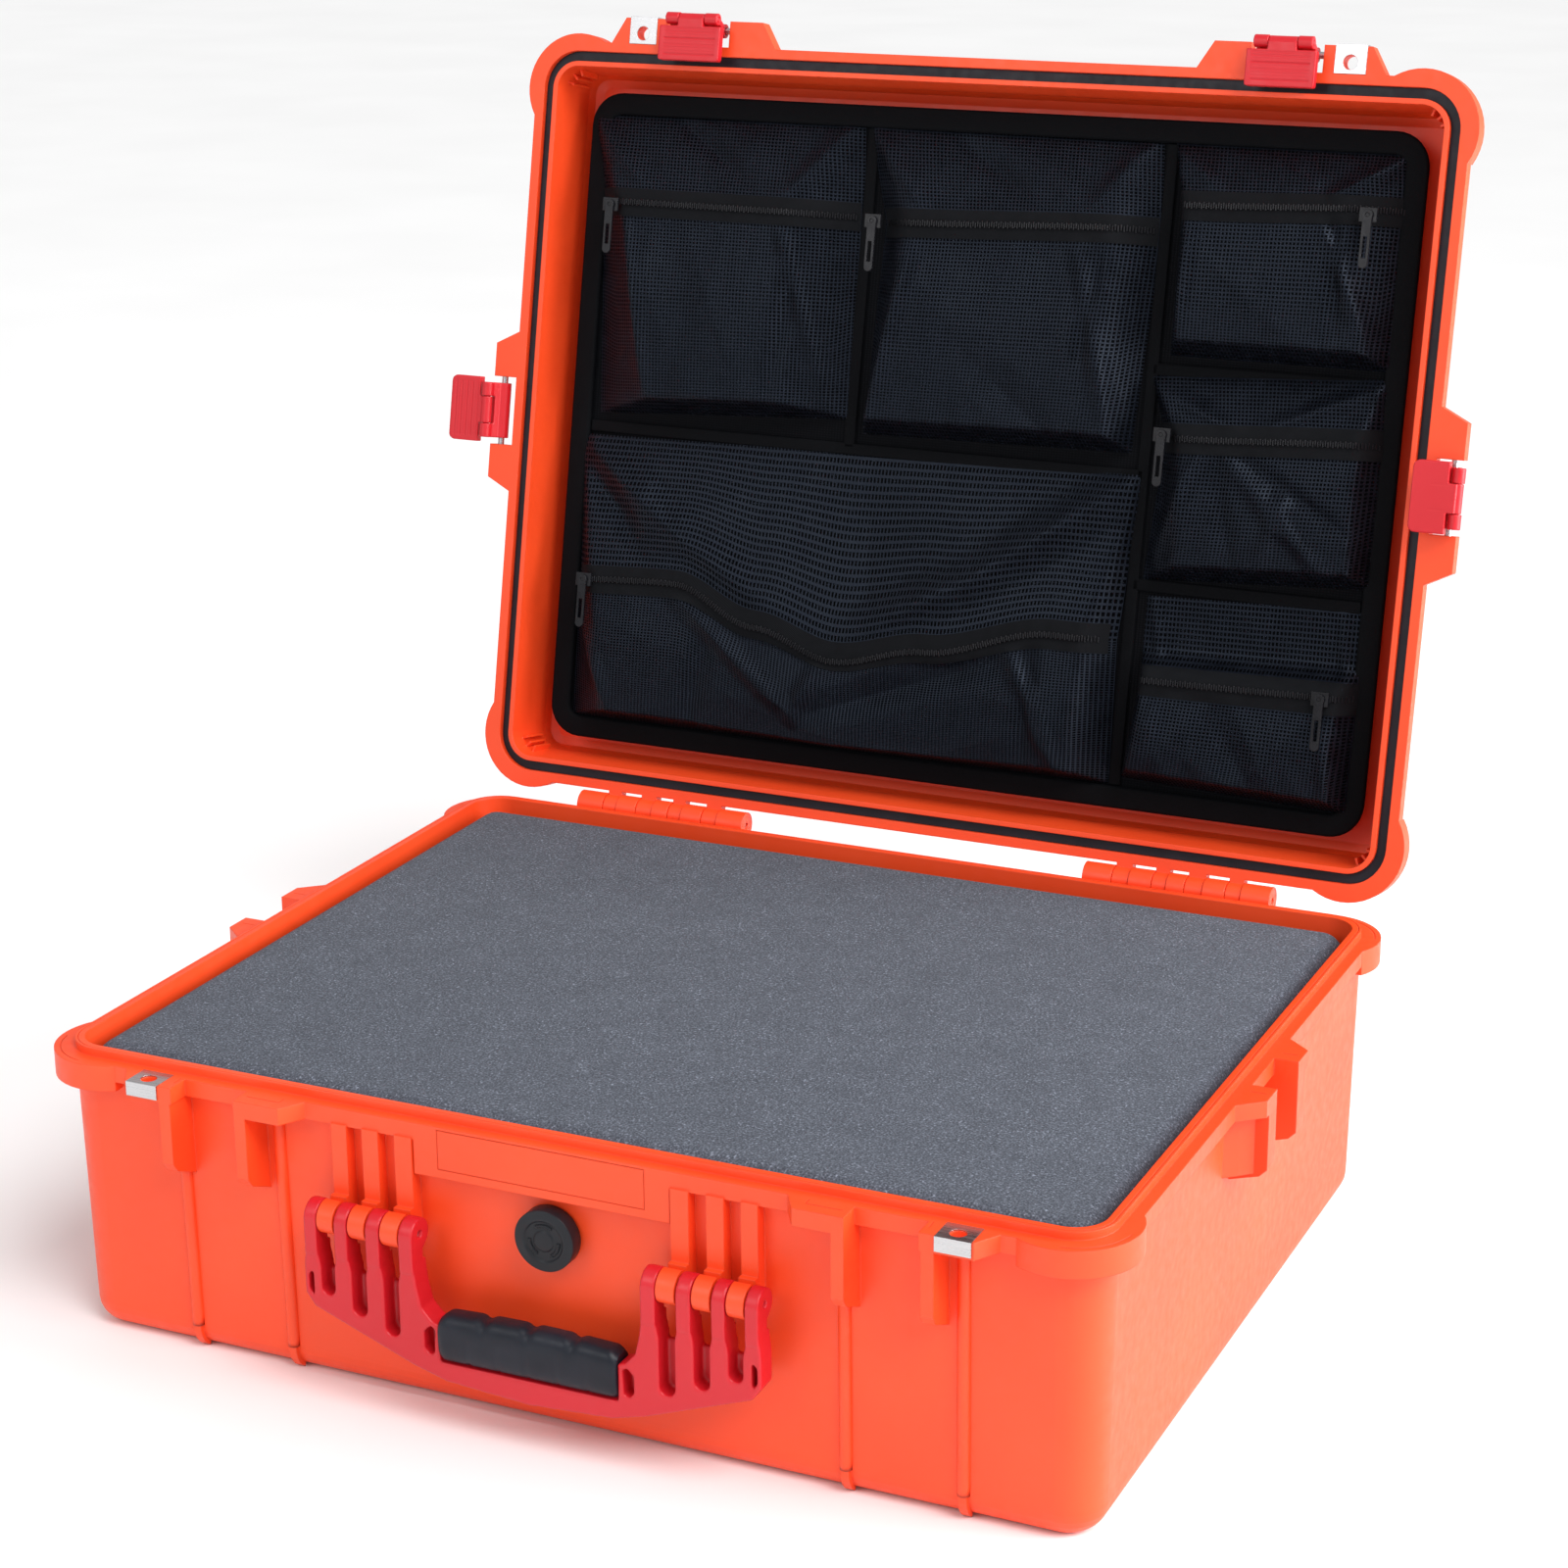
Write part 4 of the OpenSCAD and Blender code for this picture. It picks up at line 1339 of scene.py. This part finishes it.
@dataclass
class Studio:
    """The floor, the soft lights and the camera."""

    lens: float = 78.1
    eye: Point = (0.735176, -1.529531, 0.830207)
    azimuth: float = 24.883
    elevation: float = 18.281
    roll: float = -0.459
    floor: float = 60.0
    room_light: float = 0.52
    sun_power: float = 2.1
    sun_from: Point = (1.3, -0.7, 2.0)
    sun_spread: float = 32.0
    boxes: Sequence[Tuple[str, Point, float, float]] = (
        ("key", (-0.9, -2.2, 1.6), 1.2, 14.0),
        ("side", (2.4, 0.5, 1.0), 1.6, 85.0),
    )

    def build(self) -> None:
        """Set the stage."""
        bpy.context.scene.view_settings.view_transform = "Standard"
        self.make_floor()
        self.make_lights()
        self.make_camera()
        LOG.info("studio")

    def make_floor(self) -> None:
        """Lay a plain pale floor."""
        Hand.clear()
        bpy.ops.mesh.primitive_plane_add(size=self.floor, location=(0, 0, 0))
        floor = bpy.context.object
        floor.name = "studio_floor"
        bench = NodeBench("pale_floor")
        shade = bench.ramp(bench.noise(3.0, 2.0), ((0.3, (0.90, 0.90, 0.90)), (0.7, (0.93, 0.93, 0.93))))
        bench.feed("Base Color", shade)
        bench.set(Roughness=0.75, Specular_IOR_Level=0.2)
        floor.data.materials.append(bench.material)

    def make_lights(self) -> None:
        """Hang the soft boxes and light the room."""
        world = bpy.data.worlds.new("room")
        world.use_nodes = True
        back = world.node_tree.nodes["Background"]
        back.inputs["Color"].default_value = (1.0, 1.0, 1.0, 1.0)
        back.inputs["Strength"].default_value = self.room_light
        bpy.context.scene.world = world
        aim = Vector((0.0, 0.0, 0.25))
        sun = bpy.data.lights.new("window", "SUN")
        sun.energy, sun.angle = self.sun_power, math.radians(self.sun_spread)
        high = bpy.data.objects.new("window", sun)
        high.rotation_euler = (aim - Vector(self.sun_from)).to_track_quat("-Z", "Y").to_euler()
        bpy.context.collection.objects.link(high)
        for name, spot, size, power in self.boxes:
            lamp = bpy.data.lights.new(name, "AREA")
            lamp.energy, lamp.size = power, size
            holder = bpy.data.objects.new(name, lamp)
            holder.location = spot
            holder.rotation_euler = (aim - Vector(spot)).to_track_quat("-Z", "Y").to_euler()
            bpy.context.collection.objects.link(holder)

    def make_camera(self) -> None:
        """Stand the camera at the front right."""
        data = bpy.data.cameras.new("camera")
        data.sensor_width, data.lens = 36.0, self.lens
        holder = bpy.data.objects.new("camera", data)
        bpy.context.collection.objects.link(holder)
        az, el, roll = (math.radians(a) for a in (self.azimuth, self.elevation, self.roll))
        back = Vector((math.sin(az) * math.cos(el), -math.cos(az) * math.cos(el), math.sin(el)))
        right = Vector((math.cos(az), math.sin(az), 0.0))
        up = back.cross(right)
        side = right * math.cos(roll) + up * math.sin(roll)
        high = up * math.cos(roll) - right * math.sin(roll)
        turn = Matrix((side, high, back)).transposed().to_4x4()
        holder.matrix_world = Matrix.Translation(self.eye) @ turn
        bpy.context.scene.camera = holder


def main() -> None:
    """Build the pieces in order."""
    Studio().build()
    finishes = Finishes()
    finishes.make()
    finishes.dress_frame()
    FoamFill(finishes).build()
    RoundedMouldings(finishes).build()
    WallRibs(finishes).build()
    GripCover(finishes).build()
    ValveFace(finishes).build()
    organizer = Organizer(finishes, LidPlace.read())
    organizer.build_board()
    organizer.build_pockets()


if __name__ == "__main__":
    main()
